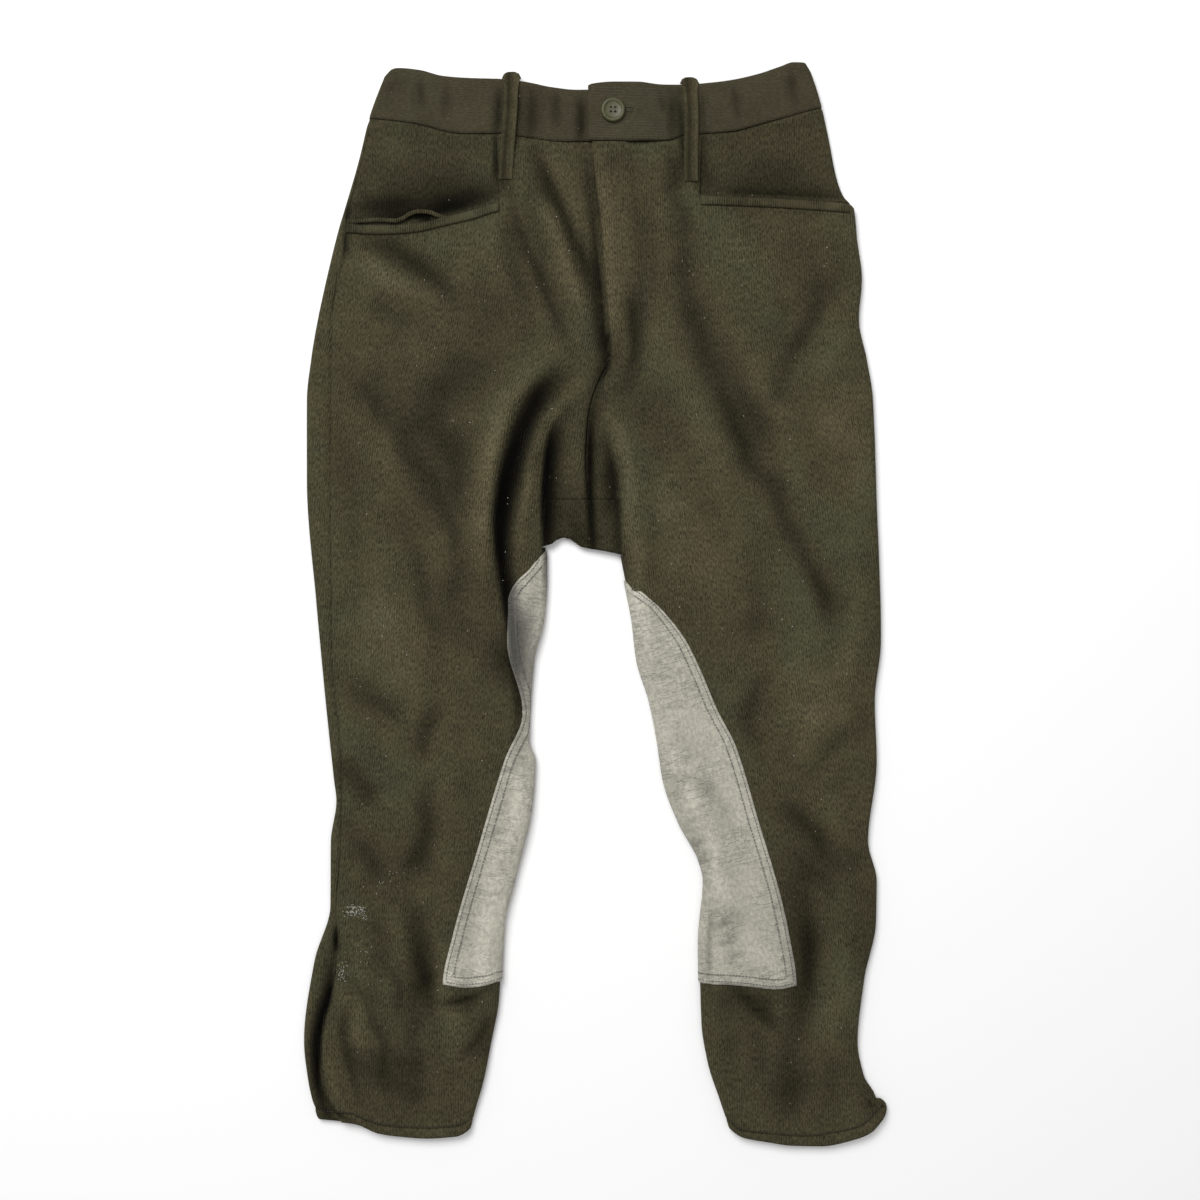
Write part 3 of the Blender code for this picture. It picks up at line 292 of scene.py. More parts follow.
# Painted shade and painted highlights: soft dark strokes in the cloth where its folds, seams and edges lie in
# shade, and light ones on lit ridges, where how dark is below 0. Columns: half width, how dark, how brown,
# and the points (x, depth) that it runs through
PAINTED_SHADE_STROKES = [
    # Above and along the pocket mouths
    (18, 0.40, 0.5, [(-182, 107), (-143, 108), (-88, 97)]),
    (24, 0.16, 0.4, [(-159, 84), (-102, 77)]),
    (7, 0.45, 0.2, [(-75, 69), (-77, 90), (-78, 108)]),
    (8, 0.40, 0.2, [(-54, 22), (-52, 43), (-53, 61)]),
    ((5, 3), 0.72, 0.1, [(-12, 24), (-11, 48), (-13, 68)]),
    ((5, 2.5), 0.74, 0.0, [(-77, 16), (-78, 43), (-79.5, 60)]),
    ((2.5, 2.5), 0.90, 0.0, [(-80.7, 56), (-80.7, 76), (-80.7, 96)]),
    ((4, 2.5), 0.70, 0.0, [(68, 20), (69.5, 46), (71, 72), (71.5, 96)]),
    ((4, 4), 0.55, 0.1, [(62, 24), (62, 44), (61, 66)]),
    ((2, 4), 0.45, 0.1, [(85, 20), (86.5, 46), (87, 92)]),
    ((2, 4), 0.45, 0.1, [(-61, 16), (-63, 40), (-66, 88)]),
    ((2, 2), 0.80, 0.1, [(-200.5, 112), (-201, 121), (-201.5, 130)]),
    ((1.8, 13), 0.86, 0.1, [(-206, 126), (-177, 127.5), (-160, 127), (-143, 125.5), (-122, 120.5), (-98, 115),
                            (-78, 108)]),
    ((1.5, 6), 0.60, 0.1, [(84, 104.5), (118, 105.5), (150, 107), (180, 108.5), (208, 111)]),
    (8, 0.62, 0.1, [(-204, 118), (-180, 119), (-158, 117), (-140, 114)]),
    (8, 0.62, 0.1, [(-138, 114), (-120, 112), (-102, 108), (-80, 104)]),
    (10, 0.38, 0.4, [(64, 69), (66, 92), (67, 107)]),
    (7, 0.35, 0.3, [(87, 69), (88, 90), (87, 104)]),
    (21, 0.28, 0.6, [(95, 102), (134, 99), (204, 102)]),
    (21, 0.14, 0.6, [(118, 77), (167, 81)]),
    (11, 0.22, 0.3, [(-166, 15), (-163, 29)]),
    ((5, 3), 0.42, 0.2, [(-143, 12), (-141, 24), (-140, 38)]),
    ((3, 5), 0.36, 0.2, [(-121, 14), (-122, 30), (-122, 46)]),
    ((5, 3), 0.40, 0.2, [(-32, 22), (-31, 40), (-31, 56)]),
    ((3, 4), 0.35, 0.2, [(-53, 16), (-52, 40), (-53, 60)]),
    ((3, 5), 0.36, 0.2, [(111, 18), (113, 34), (116, 50)]),
    ((5, 3), 0.42, 0.2, [(158, 6), (160, 20), (163, 38)]),
    ((3, 3), 0.30, 0.2, [(52, 24), (54, 34), (54, 42)]),
    (10, -0.18, 0.0, [(-70, 70), (-90, 84)]),
    (10, 0.20, 0.3, [(9, 77), (13, 84), (36, 82)]),
    # Below them, towards the right
    ((2.5, 2.5), 0.85, 0.1, [(-201.5, 135), (-202, 148), (-202.5, 160)]),
    (3.5, 0.95, 0.0, [(-149, 127), (-140, 126.5), (-130, 127)]),
    ((2, 12), 0.84, 0.0, [(-57, 286), (-68, 316), (-76, 346), (-80, 374), (-80, 402), (-76, 432)]),
    ((4, 10), 0.5, 0.0, [(-44, 268), (-57, 290), (-67, 318), (-74, 346), (-78, 380)]),
    ((6, 4), 0.50, 0.5, [(-70, 96), (-62, 133), (-48, 167), (-33, 204), (-20, 232)]),
    (8, -0.28, 0.0, [(-194, 150), (-160, 182), (-138, 208)]),
    (11, 0.24, 0.4, [(-65, 118), (-62, 159), (-53, 196)]),
    (9, 0.50, 0.5, [(-198, 140), (-164, 152), (-137, 172), (-115, 196)]),
    (8, 0.20, 0.4, [(-182, 188), (-151, 196), (-122, 216)]),
    (24, 0.26, 1.0, [(-55, 193), (-86, 206), (-109, 229)]),
    (21, 0.28, 1.0, [(-81, 232), (-109, 260), (-122, 289)]),
    (28, 0.22, 1.0, [(-187, 250), (-143, 271), (-117, 284)]),
    (20, 0.32, 1.0, [(-119, 297), (-109, 330), (-102, 368)]),
    (24, 0.26, 0.6, [(-144, 276), (-140, 330), (-136, 390)]),
    (9, -0.24, 0.0, [(-176, 270), (-164, 306), (-156, 350)]),
    (9, -0.22, 0.0, [(-70, 214), (-96, 236), (-112, 262)]),
    (11, 0.30, 0.8, [(-208, 237), (-182, 270), (-159, 289), (-127, 306), (-114, 338), (-107, 371)]),
    (10, 0.20, 0.6, [(-215, 273), (-208, 314), (-203, 355)]),
    ((9, 15), 0.84, 0.2, [(-22, 240), (-40, 260), (-52, 284), (-61, 308), (-72, 344), (-78, 380)]),
    ((2.2, 14), 0.93, 0.1, [(-58, 276), (-70, 312), (-78, 343), (-81, 377), (-78, 408), (-74, 438),
                            (-68, 470), (-64, 505)]),
    ((2.2, 8), 0.70, 0.0, [(-69, 312), (-78, 350), (-80.5, 377), (-78, 408), (-73, 450), (-66, 490)]),
    ((14, 4), -0.42, 0.0, [(-62, 280), (-80, 310), (-88, 345), (-90, 380), (-88, 420)]),
    (6, -0.30, 0.0, [(-26, 282), (-42, 300), (-54, 328), (-60, 363)]),
    (10, 0.20, 0.8, [(-39, 260), (-57, 278)]),
    # Below them, in the middle
    ((2, 7), 0.84, 0.0, [(-38, 306), (-41, 328), (-43, 358), (-42.5, 396)]),
    ((6, 1), 0.74, 0.0, [(-3.8, 66), (2.6, 124), (4.6, 176), (7.8, 228), (12.2, 247)]),
    (4, -0.12, 0.0, [(2, 72), (8.5, 124), (10.5, 176), (13.5, 226)]),
    ((1.2, 9), -0.14, 0.0, [(0, 72), (7, 124), (9, 176), (12.5, 226), (15, 244)]),
    (4, 0.34, 0.0, [(29, 186), (31, 216), (31.5, 244)]),
    ((8, 5), 0.66, 0.5, [(-50, 64), (-38, 94), (-22, 133), (-6, 167), (0, 196)]),
    ((6, 7), -0.30, 0.0, [(-42, 110), (-33, 135), (-20, 168), (-12, 204)]),
    ((8, 1.6), 0.62, 0.5, [(-5.5, 64), (-2, 95), (2.2, 128), (5.8, 173), (9, 224)]),
    ((2, 8), -0.20, 0.0, [(-1, 66), (2, 95), (6.5, 128), (10, 173), (13, 224)]),
    ((2, 12), 0.90, 0.1, [(-24, 282), (-36, 300), (-40.5, 326), (-42, 356), (-41.5, 394), (-41, 440)]),
    ((2, 6), 0.70, 0.0, [(-34, 298), (-40, 322), (-42, 356), (-41.5, 394), (-41, 430)]),
    ((4, 5), 0.97, 0.0, [(-2, 262), (-4.5, 300), (-5, 341), (-3, 380), (-1, 436)]),
    ((9, 2), 0.78, 0.2, [(6, 290), (14, 324), (18, 350), (20.5, 390), (22, 440)]),
    ((8, 2), 0.88, 0.1, [(7, 196), (9, 214), (11, 234), (10, 246), (4, 260), (-2, 276)]),
    (14, 0.42, 0.3, [(-24, 320), (-22, 360), (-18, 396), (-14, 430)]),
    (7, -0.16, 0.0, [(-14, 312), (-13, 336)]),
    (12, 0.24, 0.2, [(38, 252), (40, 276), (30, 292)]),
    (7, 0.45, 0.5, [(7, 314), (9, 346), (7, 379)]),
    (10, 0.35, 0.6, [(-29, 382), (-9, 389), (13, 392)]),
    (7, 0.35, 0.5, [(9, 267), (2, 280), (-3, 293)]),
    (7, 0.40, 0.4, [(29, 178), (34, 208), (33, 234), (25, 257)]),
    (11, 0.26, 0.8, [(43, 90), (44, 134), (48, 183), (43, 224)]),
    (9, 0.30, 0.4, [(13, 216), (15, 237), (10, 260)]),
    # Below them, towards the left
    (11, 0.32, 0.9, [(72, 120), (75, 161), (84, 201), (98, 237), (118, 270), (131, 306), (141, 335)]),
    (16, 0.26, 1.0, [(105, 257), (123, 293), (136, 327)]),
    (13, 0.20, 0.7, [(141, 330), (160, 374), (176, 412)]),
    (10, 0.22, 0.6, [(201, 161), (180, 192), (163, 221), (147, 250)]),
    (7, 0.20, 0.5, [(189, 177), (172, 183), (159, 195)]),
    (20, 0.14, 1.0, [(134, 134), (167, 159), (175, 208)]),
    (16, 0.14, 0.6, [(36, 276), (56, 297), (66, 330)]),
    (11, 0.12, 0.4, [(85, 330), (92, 371)]),
    (10, 0.12, 0.3, [(204, 289), (201, 330), (204, 371)]),
    (15, 0.16, 0.7, [(191, 297), (183, 355)]),
    (26, -0.36, 0.0, [(54, 300), (60, 350), (70, 400), (82, 444)]),
    (22, -0.42, 0.0, [(196, 256), (200, 320), (203, 376)]),
    (22, -0.14, 0.0, [(100, 140), (130, 160), (160, 172)]),
    # Right leg below the crotch
    ((7, 1.5), 0.9, 0.0, [(-213.5, 742), (-216, 758), (-221.5, 778), (-225, 802), (-224.5, 826)]),
    ((3, 3), 0.97, 0.0, [(-211.5, 700), (-210.5, 712), (-212, 724)]),
    (5, -0.24, 0.0, [(-205, 744), (-190, 790), (-180, 830)]),
    ((3, 6), 0.42, 0.2, [(-196, 742), (-182, 776), (-172, 800), (-176, 828)]),
    ((5, 3), 0.40, 0.2, [(-170, 728), (-158, 752), (-160, 776)]),
    ((1.4, 1.2), 0.85, 0.0, [(-220.6, 818), (-217.4, 839.5), (-212.1, 849), (-204.6, 854.5),
                                (-195.2, 857.7)]),
    (6, 0.4, 0.0, [(-224, 846), (-218, 856), (-206, 861)]),
    (3, -0.3, 0.0, [(-216, 806), (-213, 834), (-208, 843)]),
    (16, 0.26, 0.9, [(-109, 379), (-106, 412), (-102, 444)]),
    (18, 0.32, 1.0, [(-123, 408), (-119, 444), (-127, 478)]),
    (10, 0.22, 0.7, [(-99, 469), (-78, 478), (-71, 495)]),
    (11, 0.26, 0.5, [(-207, 500), (-185, 519), (-166, 548)]),
    (9, 0.24, 0.4, [(-132, 518), (-140, 545), (-127, 566)]),
    (11, 0.34, 0.6, [(-208, 566), (-195, 581), (-182, 599)]),
    (11, 0.24, 0.5, [(-208, 609), (-192, 628), (-174, 656)]),
    (12, 0.38, 1.0, [(-133, 588), (-130, 615), (-140, 641), (-151, 664)]),
    (26, 0.20, 0.8, [(-198, 658), (-163, 658), (-137, 667)]),
    (11, 0.32, 0.7, [(-159, 681), (-143, 705), (-137, 733), (-148, 762), (-161, 785)]),
    (13, 0.36, 0.6, [(-161, 721), (-146, 739), (-137, 756)]),
    (10, 0.36, 0.4, [(-120, 752), (-106, 765), (-91, 756)]),
    (11, 0.26, 0.5, [(-102, 772), (-99, 795), (-109, 816)]),
    (24, 0.28, 1.0, [(-194, 821), (-159, 830), (-127, 834)]),
    (10, 0.26, 0.5, [(-198, 795), (-182, 811), (-161, 817)]),
    (10, 0.24, 0.4, [(-192, 694), (-176, 713), (-179, 738)]),
    ((2, 2), 0.9, 0.0, [(-210.3, 698), (-210.6, 711), (-210.6, 724)]),
    ((8, 2), 0.95, 0.0, [(-212, 716), (-213.5, 740), (-215, 756), (-220.5, 775), (-224.5, 798),
                         (-224.5, 821), (-220.5, 843), (-212, 866)]),
    ((5, 2), 0.92, 0.0, [(-212, 722), (-213.5, 742), (-215, 756), (-220.5, 775), (-224.5, 798),
                         (-224.5, 821), (-220.5, 843), (-212, 862)]),
    (3.5, -0.35, 0.0, [(-222, 700), (-228, 724), (-233, 762), (-236, 811), (-233, 850)]),
    (34, -0.30, 0.0, [(-170, 420), (-168, 470), (-164, 520)]),
    (7, 0.30, 0.4, [(-153, 788), (-143, 808), (-140, 830)]),
    ((5, 8), 0.48, 0.4, [(-154, 690), (-147, 720), (-136, 750), (-130, 784)]),
    (8, -0.34, 0.0, [(-136, 706), (-124, 752), (-112, 806)]),
    (7, -0.32, 0.0, [(-193, 716), (-188, 756), (-189, 796)]),
    ((3, 7), 0.50, 0.2, [(-199, 758), (-206, 784), (-199, 818), (-188, 850)]),
    (9, 0.32, 0.5, [(-192, 794), (-168, 806), (-138, 826)]),
    ((4, 3), 0.62, 0.1, [(-130, 764), (-106, 759), (-80, 746)]),
    ((3, 5), 0.44, 0.2, [(-114, 810), (-95, 792), (-82, 768)]),
    (13, 0.78, 0.2, [(-65, 430), (-63, 456), (-65, 484), (-64, 512)]),
    ((3, 9), 0.62, 0.1, [(-69, 430), (-68, 462), (-66, 496), (-64, 530), (-66, 560)]),
    (7, 0.25, 0.2, [(-60, 540), (-66, 580)]),
    # Left leg below the crotch
    (26, 0.2, 1.0, [(150, 636), (166, 690), (168, 744)]),
    (34, -0.38, 0.0, [(172, 462), (176, 510), (178, 556)]),
    (6, 0.24, 0.2, [(74, 576), (86, 588), (102, 604), (119, 624)]),
    (4, 0.22, 0.2, [(56, 576), (66, 579), (76, 582)]),
    (5, 0.16, 0.2, [(96, 700), (110, 690), (124, 702)]),
    (5, 0.20, 0.2, [(98, 694), (94, 720), (94, 744)]),
    (10, 0.36, 0.9, [(176, 403), (185, 428), (194, 456)]),
    (13, 0.22, 0.8, [(147, 478), (137, 509), (131, 537), (128, 560)]),
    (16, 0.16, 0.8, [(124, 436), (128, 469)]),
    (11, 0.30, 0.7, [(139, 596), (155, 609), (173, 622), (194, 640)]),
    (18, 0.30, 1.0, [(159, 628), (172, 648), (180, 672)]),
    (11, 0.24, 0.8, [(196, 632), (204, 648), (209, 664)]),
    ((14, 9), 0.50, 0.6, [(164, 650), (170, 690), (172, 725), (166, 750), (163, 784), (152, 812)]),
    ((4, 6), 0.48, 0.4, [(108, 748), (120, 759), (134, 773), (150, 790)]),
    (7, -0.24, 0.0, [(152, 742), (148, 760), (158, 778)]),
    (9, -0.26, 0.0, [(181, 744), (185, 781), (189, 813), (200, 842)]),
    (12, 0.24, 1.0, [(150, 796), (151, 830), (152, 864)]),
    ((1.8, 1.8), 0.62, 0.2, [(94, 684), (93, 715), (93, 756)]),
    (9, 0.12, 0.8, [(88, 690), (87, 720), (88, 745)]),
    (11, 0.34, 0.5, [(92, 760), (121, 762), (159, 759)]),
    (11, 0.26, 0.5, [(115, 767), (128, 791), (137, 826)]),
    (20, 0.26, 0.9, [(159, 795), (167, 821), (170, 847)]),
    (10, 0.28, 0.6, [(186, 800), (189, 827), (194, 853)]),
    (10, 0.30, 0.4, [(217, 819), (224, 840), (232, 850)]),
    (10, 0.18, 0.4, [(214, 518), (217, 550)]),
    (11, 0.20, 0.5, [(222, 656), (217, 705), (214, 746)]),
]


def ladder(first, last, count, reach, dark):
    """Painted shade of short creases, one under another, like the rungs of a ladder."""
    rows = []
    for k in range(count):
        x = first[0] + (last[0] - first[0]) * k / (count - 1) + 2.2 * math.sin(k * 1.9)
        depth = first[1] + (last[1] - first[1]) * k / (count - 1) + 0.8 * math.sin(k * 2.7)
        wide = reach * (1 + 0.4 * math.sin(k * 3.1))
        rows.append(((1.5, 2.2), dark * (1 + 0.4 * math.sin(k * 4.3)), 0.0,
                     [(x - wide, depth + 2), (x, depth), (x + wide, depth - 3)]))
    return rows


# Painted shade of short creases on the knee patches. Columns: first place, last place, how many, reach, how
# dark
LADDERS = [
    ((78, 606), (92, 668), 14, 9, 0.34),
    ((92, 672), (112, 724), 12, 9, 0.34),
    ((48, 486), (76, 590), 15, 7, 0.22),
    ((-56, 500), (-84, 690), 24, 7, 0.24),
    ((112, 728), (136, 742), 4, 6, 0.2),
    ((-100, 640), (-108, 720), 10, 6, 0.2),
]
for rungs in LADDERS:
    PAINTED_SHADE_STROKES += ladder(*rungs)


# The height of the front's outer face, worked out once on a fine sheet of places and then read from it
CELL = 1.6
SPAN_X = (-252.0, 252.0)
SPAN_DEPTH = (-12.0, 892.0)
PLACES_X, PLACES_D = np.meshgrid(np.arange(*SPAN_X, CELL), np.arange(*SPAN_DEPTH, CELL), indexing="ij")


def read_sheet(sheet, x, depth, cell=CELL):
    """Value at a place on a sheet of values, smooth between its points."""
    total = 0.0
    parts = []
    for place, start, size in ((x, SPAN_X[0], sheet.shape[0]), (depth, SPAN_DEPTH[0], sheet.shape[1])):
        at = np.clip((place - start) / cell, 1, size - 3)
        k = np.floor(at).astype(int)
        t = at - k
        weights = (t * (-0.5 + t * (1 - 0.5 * t)), 1 + t * t * (1.5 * t - 2.5),
                   t * (0.5 + t * (2 - 1.5 * t)), t * t * (0.5 * t - 0.5))
        parts.append((k, weights))
    (column, across), (row, along) = parts
    for i in range(4):
        for j in range(4):
            total = total + across[i] * along[j] * sheet[column + i - 1, row + j - 1]
    return total


def value_at(sheet, x, depth):
    """Value at one place on a sheet of values."""
    return float(read_sheet(sheet, np.array([float(x)]), np.array([float(depth)]))[0])


def softened(sheet, reach):
    """The sheet with each value spread over its neighbours."""
    steps = np.arange(-int(3 * reach / CELL), int(3 * reach / CELL) + 1) * CELL
    weights = np.exp(-(steps / reach) ** 2 / 2)
    weights /= weights.sum()
    pad = len(steps) // 2
    for axis in (0, 1):
        padded = np.pad(sheet, [(pad, pad) if a == axis else (0, 0) for a in (0, 1)], mode="edge")
        sheet = sum(weight * padded.take(range(k, k + sheet.shape[axis]), axis=axis)
                    for k, weight in enumerate(weights))
    return sheet


def uneven(reach, seed):
    """Soft random rise and fall over a length of about reach, from -1 to 1."""
    chance = np.random.default_rng(seed)
    coarse = chance.uniform(-1, 1, (int(504 / reach) + 6, int(904 / reach) + 6))
    return read_sheet(coarse, PLACES_X + reach * 2, PLACES_D + reach * 2, reach)


BENT_X = PLACES_X + 3.0 * uneven(30, 31) + 1.4 * uneven(13, 32)
BENT_D = PLACES_D + 4.5 * uneven(34, 33)


def path(rows, count):
    """A smooth path through rows of two columns, in count places: the place along it, and both columns."""
    along = np.linspace(0, len(rows) - 1, count)
    return along, *(line(list(enumerate(column)))(along) for column in zip(*rows))


def stroke(width, points):
    """A soft stroke of the sheet along a path: full in its middle, and fading out at both ends.

    A pair of widths gives it a right side and a left side of its own, as seen by someone who walks along
    it. Walking down the garment, the right side is the one towards the wearer's right.
    """
    right, left = width if isinstance(width, tuple) else (width, width)
    places_x, places_d = (PLACES_X, PLACES_D) if isinstance(width, tuple) else (BENT_X, BENT_D)
    _, path_x, path_d = path(points, 14 * (len(points) - 1) + 1)
    reach = 3 * max(right, left)
    window = tuple(slice(int(max((way.min() - reach - start) / CELL, 0)),
                         int((way.max() + reach - start) / CELL) + 1)
                   for way, start in ((path_x, SPAN_X[0]), (path_d, SPAN_DEPTH[0])))
    away = (places_x[window][..., None] - path_x) ** 2 + (places_d[window][..., None] - path_d) ** 2
    nearest = away.argmin(axis=-1)
    share = nearest / (len(path_x) - 1)
    ends = fade(np.minimum(share, 1 - share), -0.12, 0.35)
    aside = np.gradient(path_x)[nearest] * (places_d[window] - path_d[nearest])
    aside = aside - np.gradient(path_d)[nearest] * (places_x[window] - path_x[nearest])
    return window, ends * np.exp(-away.min(axis=-1) / np.where(aside > 0, right, left) ** 2)


def lay_folds():
    """Add every fold to the sheet, round across."""
    height = np.full(PLACES_X.shape, LAID)
    for width, rise, points in FOLDS:
        window, share = stroke(width, points)
        height[window] += rise * share
    return height + 0.45 * uneven(34, 3) + 0.28 * uneven(15, 4)


def lay_painted_shade_and_brown():
    """Share of its colour that the wool keeps under the painted shade and painted highlights of the strokes,
    and how brown it is.
    """
    kept = np.ones(PLACES_X.shape)
    brown = 0.28 + 0.25 * uneven(60, 8)
    for width, dark, share_brown, points in PAINTED_SHADE_STROKES:
        window, share = stroke(width, points)
        kept[window] *= 1 - dark * share
        brown[window] += share_brown * share * 0.9
    return kept, np.clip(brown, 0, 1)


def pressed(height):
    """The folds as they lie: none goes through the back beneath, or stands up too far."""
    shallow = LOWEST + 2.0
    height = np.where(height < shallow, LOWEST + 2.0 * np.exp(np.minimum(height - shallow, 0) / 2.0), height)
    return np.minimum(height, HIGHEST)


def shade_of(height):
    """Painted shade in the hollows of the folds, and a painted highlight on their ridges."""
    hollow = 0.55 * (softened(height, 9) - height) + 0.45 * (softened(height, 22) - height)
    return np.exp(-0.22 * np.maximum(hollow, 0) + 0.09 * np.maximum(-hollow, 0))


FREE_SHEET = lay_folds()
TOP_SHEET = pressed(FREE_SHEET)
PAINTED_STROKE_SHEET, BROWN_SHEET = lay_painted_shade_and_brown()
# Painted shade in the folds' hollows and along the strokes, with painted highlights, carried by each piece as
# its shade mark
SHADE_SHEET = shade_of(FREE_SHEET) * PAINTED_STROKE_SHEET


def relief(x, depth):
    """Height of the front's outer face over the table."""
    return read_sheet(TOP_SHEET, x, depth)


def bed(leg, reach, depth):
    """The underside rises beneath the knee patch by what the patch takes up."""
    over = fade(depth, leg["patch_top"] - PATCH_FADE - 2, leg["patch_top"] - 2)
    past = fade(depth, PATCH_FOOT + 3, PATCH_FOOT + 3 + PATCH_FADE)
    return PATCH_OUT * over * (1 - past) * (1 - fade(reach, PATCH_UNDER + 2, PATCH_UNDER + 2 + PATCH_FADE))


DEPTHS = np.arange(-10, 892, 2.0)
for leg in (RIGHT_LEG, LEFT_LEG):
    outer_height = relief(leg["side"] * (leg["outer"](DEPTHS) - EDGE_READ), DEPTHS)
    inner_height = relief(leg["side"] * (leg["inner"](DEPTHS) + EDGE_READ), DEPTHS)
    leg["outer_height"] = line(list(zip(DEPTHS, outer_height)))
    leg["inner_height"] = line(list(zip(DEPTHS, inner_height)))


def outer_edge(leg, depth, drop=0.0):
    """Place and radius of the outer edge's turn."""
    return leg["outer"](depth), (leg["outer_height"](depth) - drop) / 2


def inner_edge(leg, depth, drop=0.0):
    """Place, radius and foot of the inner edge's turn."""
    foot = bed(leg, 0, depth)
    return leg["inner"](depth), (leg["inner_height"](depth) - drop - foot) / 2, foot


def round_edge(out, edge, radius, way=1):
    """Carry places round an edge: how far past its start, the rise, how far beneath, and where they lie."""
    over = way * (out - edge) + radius
    turn = np.clip(over / EDGE_TURN, 0, 1) * math.pi
    past = np.maximum(over - EDGE_TURN, 0)
    return over, radius * (1 + np.cos(turn)), past, edge + way * (radius * (np.sin(turn) - 1) - past)


def ring(leg, out, depth, below, drop=0.0):
    """A place on the leg's outer face. Past an edge, out runs on round it and back beneath."""
    place = out
    height = relief(leg["side"] * out, depth) - drop
    inner, inner_radius, inner_foot = inner_edge(leg, depth, drop)
    outer, outer_radius = outer_edge(leg, depth, drop)
    turns = ((outer, 1, outer_radius, 0 * depth),
             (np.where(below, inner, -LENGTH), -1, inner_radius, inner_foot))
    for edge, way, radius, foot in turns:
        over, rise, past, turned = round_edge(out, edge, radius, way)
        low = np.where(past > 0, bed(leg, np.where(below, turned - inner, LENGTH), depth), foot)
        place = np.where(over > 0, turned, place)
        height = np.where(over > 0, low + rise, height)
    return leg["side"] * place, height


def beneath_outer(leg, depth, reach, drop=0.0):
    """The value of out that ends reach inside the outer edge, on the underside."""
    outer, radius = outer_edge(leg, depth, drop)
    return outer + EDGE_TURN + reach - 2 * radius


def beneath_inner(leg, depth, reach):
    """The value of out that ends reach inside the inner edge, on the underside."""
    inner, radius, foot = inner_edge(leg, depth)
    return inner - EDGE_TURN - reach + 2 * radius


def spaced(counts):
    """Positions from 0 to the number of stretches, with so many equal steps in each stretch."""
    steps = [number + k / count for number, count in enumerate(counts) for k in range(count)]
    return np.array(steps + [len(counts)])


def between(guides, position, *where):
    """Value at a position along a row of guide curves."""
    values = np.array([guide(*where) + 0 * where[0] for guide in guides])
    k = np.clip(np.floor(position).astype(int), 0, len(guides) - 2)
    t = position - k
    first = np.take_along_axis(values, k[None], axis=0)[0]
    second = np.take_along_axis(values, (k + 1)[None], axis=0)[0]
    return first * (1 - t) + second * t


def level(depth):
    return lambda x: np.full(np.shape(x), float(depth))


def down(curve, more=0.0):
    """A curve as a line of a grid, moved out by a little more."""
    return lambda depth, below: curve(depth) + more


def lay(lines, line_steps, levels, level_steps, surface, crotch_level=0):
    """Grid of places: lines run down the garment, levels run across it."""
    u, v = np.meshgrid(spaced(line_steps), spaced(level_steps), indexing="ij")
    below = v >= crotch_level
    depth = between(levels, v, np.zeros_like(v))
    for _ in range(8):
        out = between(lines, u, depth, below)
        x, height = surface(out, depth, below)
        depth = between(levels, v, x)
    return {"u": u, "v": v, "x": x, "depth": depth, "height": height, "out": out}


# Finishes

class Value:
    """A number that changes over a surface, so that sums of it are written as plain Python."""

    def __init__(self, finish, socket):
        self.finish = finish
        self.socket = socket

    def sum(self, operation, first, second):
        return self.finish.node("ShaderNodeMath", {"operation": operation}, {0: first, 1: second})

    def __add__(self, other):
        return self.sum("ADD", self, other)

    def __sub__(self, other):
        return self.sum("SUBTRACT", self, other)

    def __mul__(self, other):
        return self.sum("MULTIPLY", self, other)

    def __rsub__(self, other):
        return self.sum("SUBTRACT", other, self)

    __radd__ = __add__
    __rmul__ = __mul__


class Finish:
    """One material, with its nodes."""

    def __init__(self, name, **constants):
        self.material = bpy.data.materials.new(name)
        self.material.use_nodes = True
        self.tree = self.material.node_tree
        self.shader = self.tree.nodes["Principled BSDF"]
        for socket, value in constants.items():
            self.shader.inputs[socket.replace("_", " ")].default_value = value

    def node(self, kind, settings=None, values=None, out=0):
        made = self.tree.nodes.new(kind)
        for key, value in (settings or {}).items():
            setattr(made, key, value)
        for key, value in (values or {}).items():
            if isinstance(value, Value):
                self.tree.links.new(value.socket, made.inputs[key])
            else:
                made.inputs[key].default_value = value
        return Value(self, made.outputs[out])

    def place(self):
        return self.node("ShaderNodeTexCoord", out="Object")

    def grain(self):
        """Across and along the cloth's grain, in metres."""
        uv = self.node("ShaderNodeUVMap", {"uv_map": "grain"})
        across = self.node("ShaderNodeSeparateXYZ", values={0: uv}, out=0)
        along = self.node("ShaderNodeSeparateXYZ", values={0: uv}, out=1)
        return uv, across, along

    def mark(self, name):
        return self.node("ShaderNodeAttribute", {"attribute_name": name}, out="Fac")

    def stretched(self, vector, by):
        return self.node("ShaderNodeVectorMath", {"operation": "MULTIPLY"}, {0: vector, 1: by})

    def vector(self, x, y, z=0.0):
        return self.node("ShaderNodeCombineXYZ", values={0: x, 1: y, 2: z})

    def noise(self, vector, scale, detail=2.0, roughness=0.5, twist=0.0):
        return self.node("ShaderNodeTexNoise", values={
            "Vector": vector, "Scale": scale, "Detail": detail, "Roughness": roughness, "Distortion": twist})

    def smooth(self, value, start, end, low=0.0, high=1.0):
        return self.node("ShaderNodeMapRange", {"interpolation_type": "SMOOTHSTEP"}, {
            "Value": value, "From Min": start, "From Max": end, "To Min": low, "To Max": high})

    def mix(self, share, first, second, way="MIX"):
        values = {0: share, 6: first, 7: second}
        for key in (6, 7):
            if not isinstance(values[key], Value):
                values[key] = (*values[key], 1)
        return self.node("ShaderNodeMix", {"data_type": "RGBA", "blend_type": way}, values, out=2)

    def grey(self, value):
        return self.node("ShaderNodeCombineColor", values={0: value, 1: value, 2: value})

    def raised(self, height, distance, strength=1.0, under=None):
        values = {"Height": height, "Distance": distance, "Strength": strength}
        if under is not None:
            values["Normal"] = under
        return self.node("ShaderNodeBump", values=values)

    def wire(self, **links):
        for socket, value in links.items():
            self.tree.links.new(value.socket, self.shader.inputs[socket.replace("_", " ")])
        return self.material


OLIVE = (0.059, 0.0572, 0.0318)
BROWN_WOOL = (0.062, 0.0535, 0.0293)


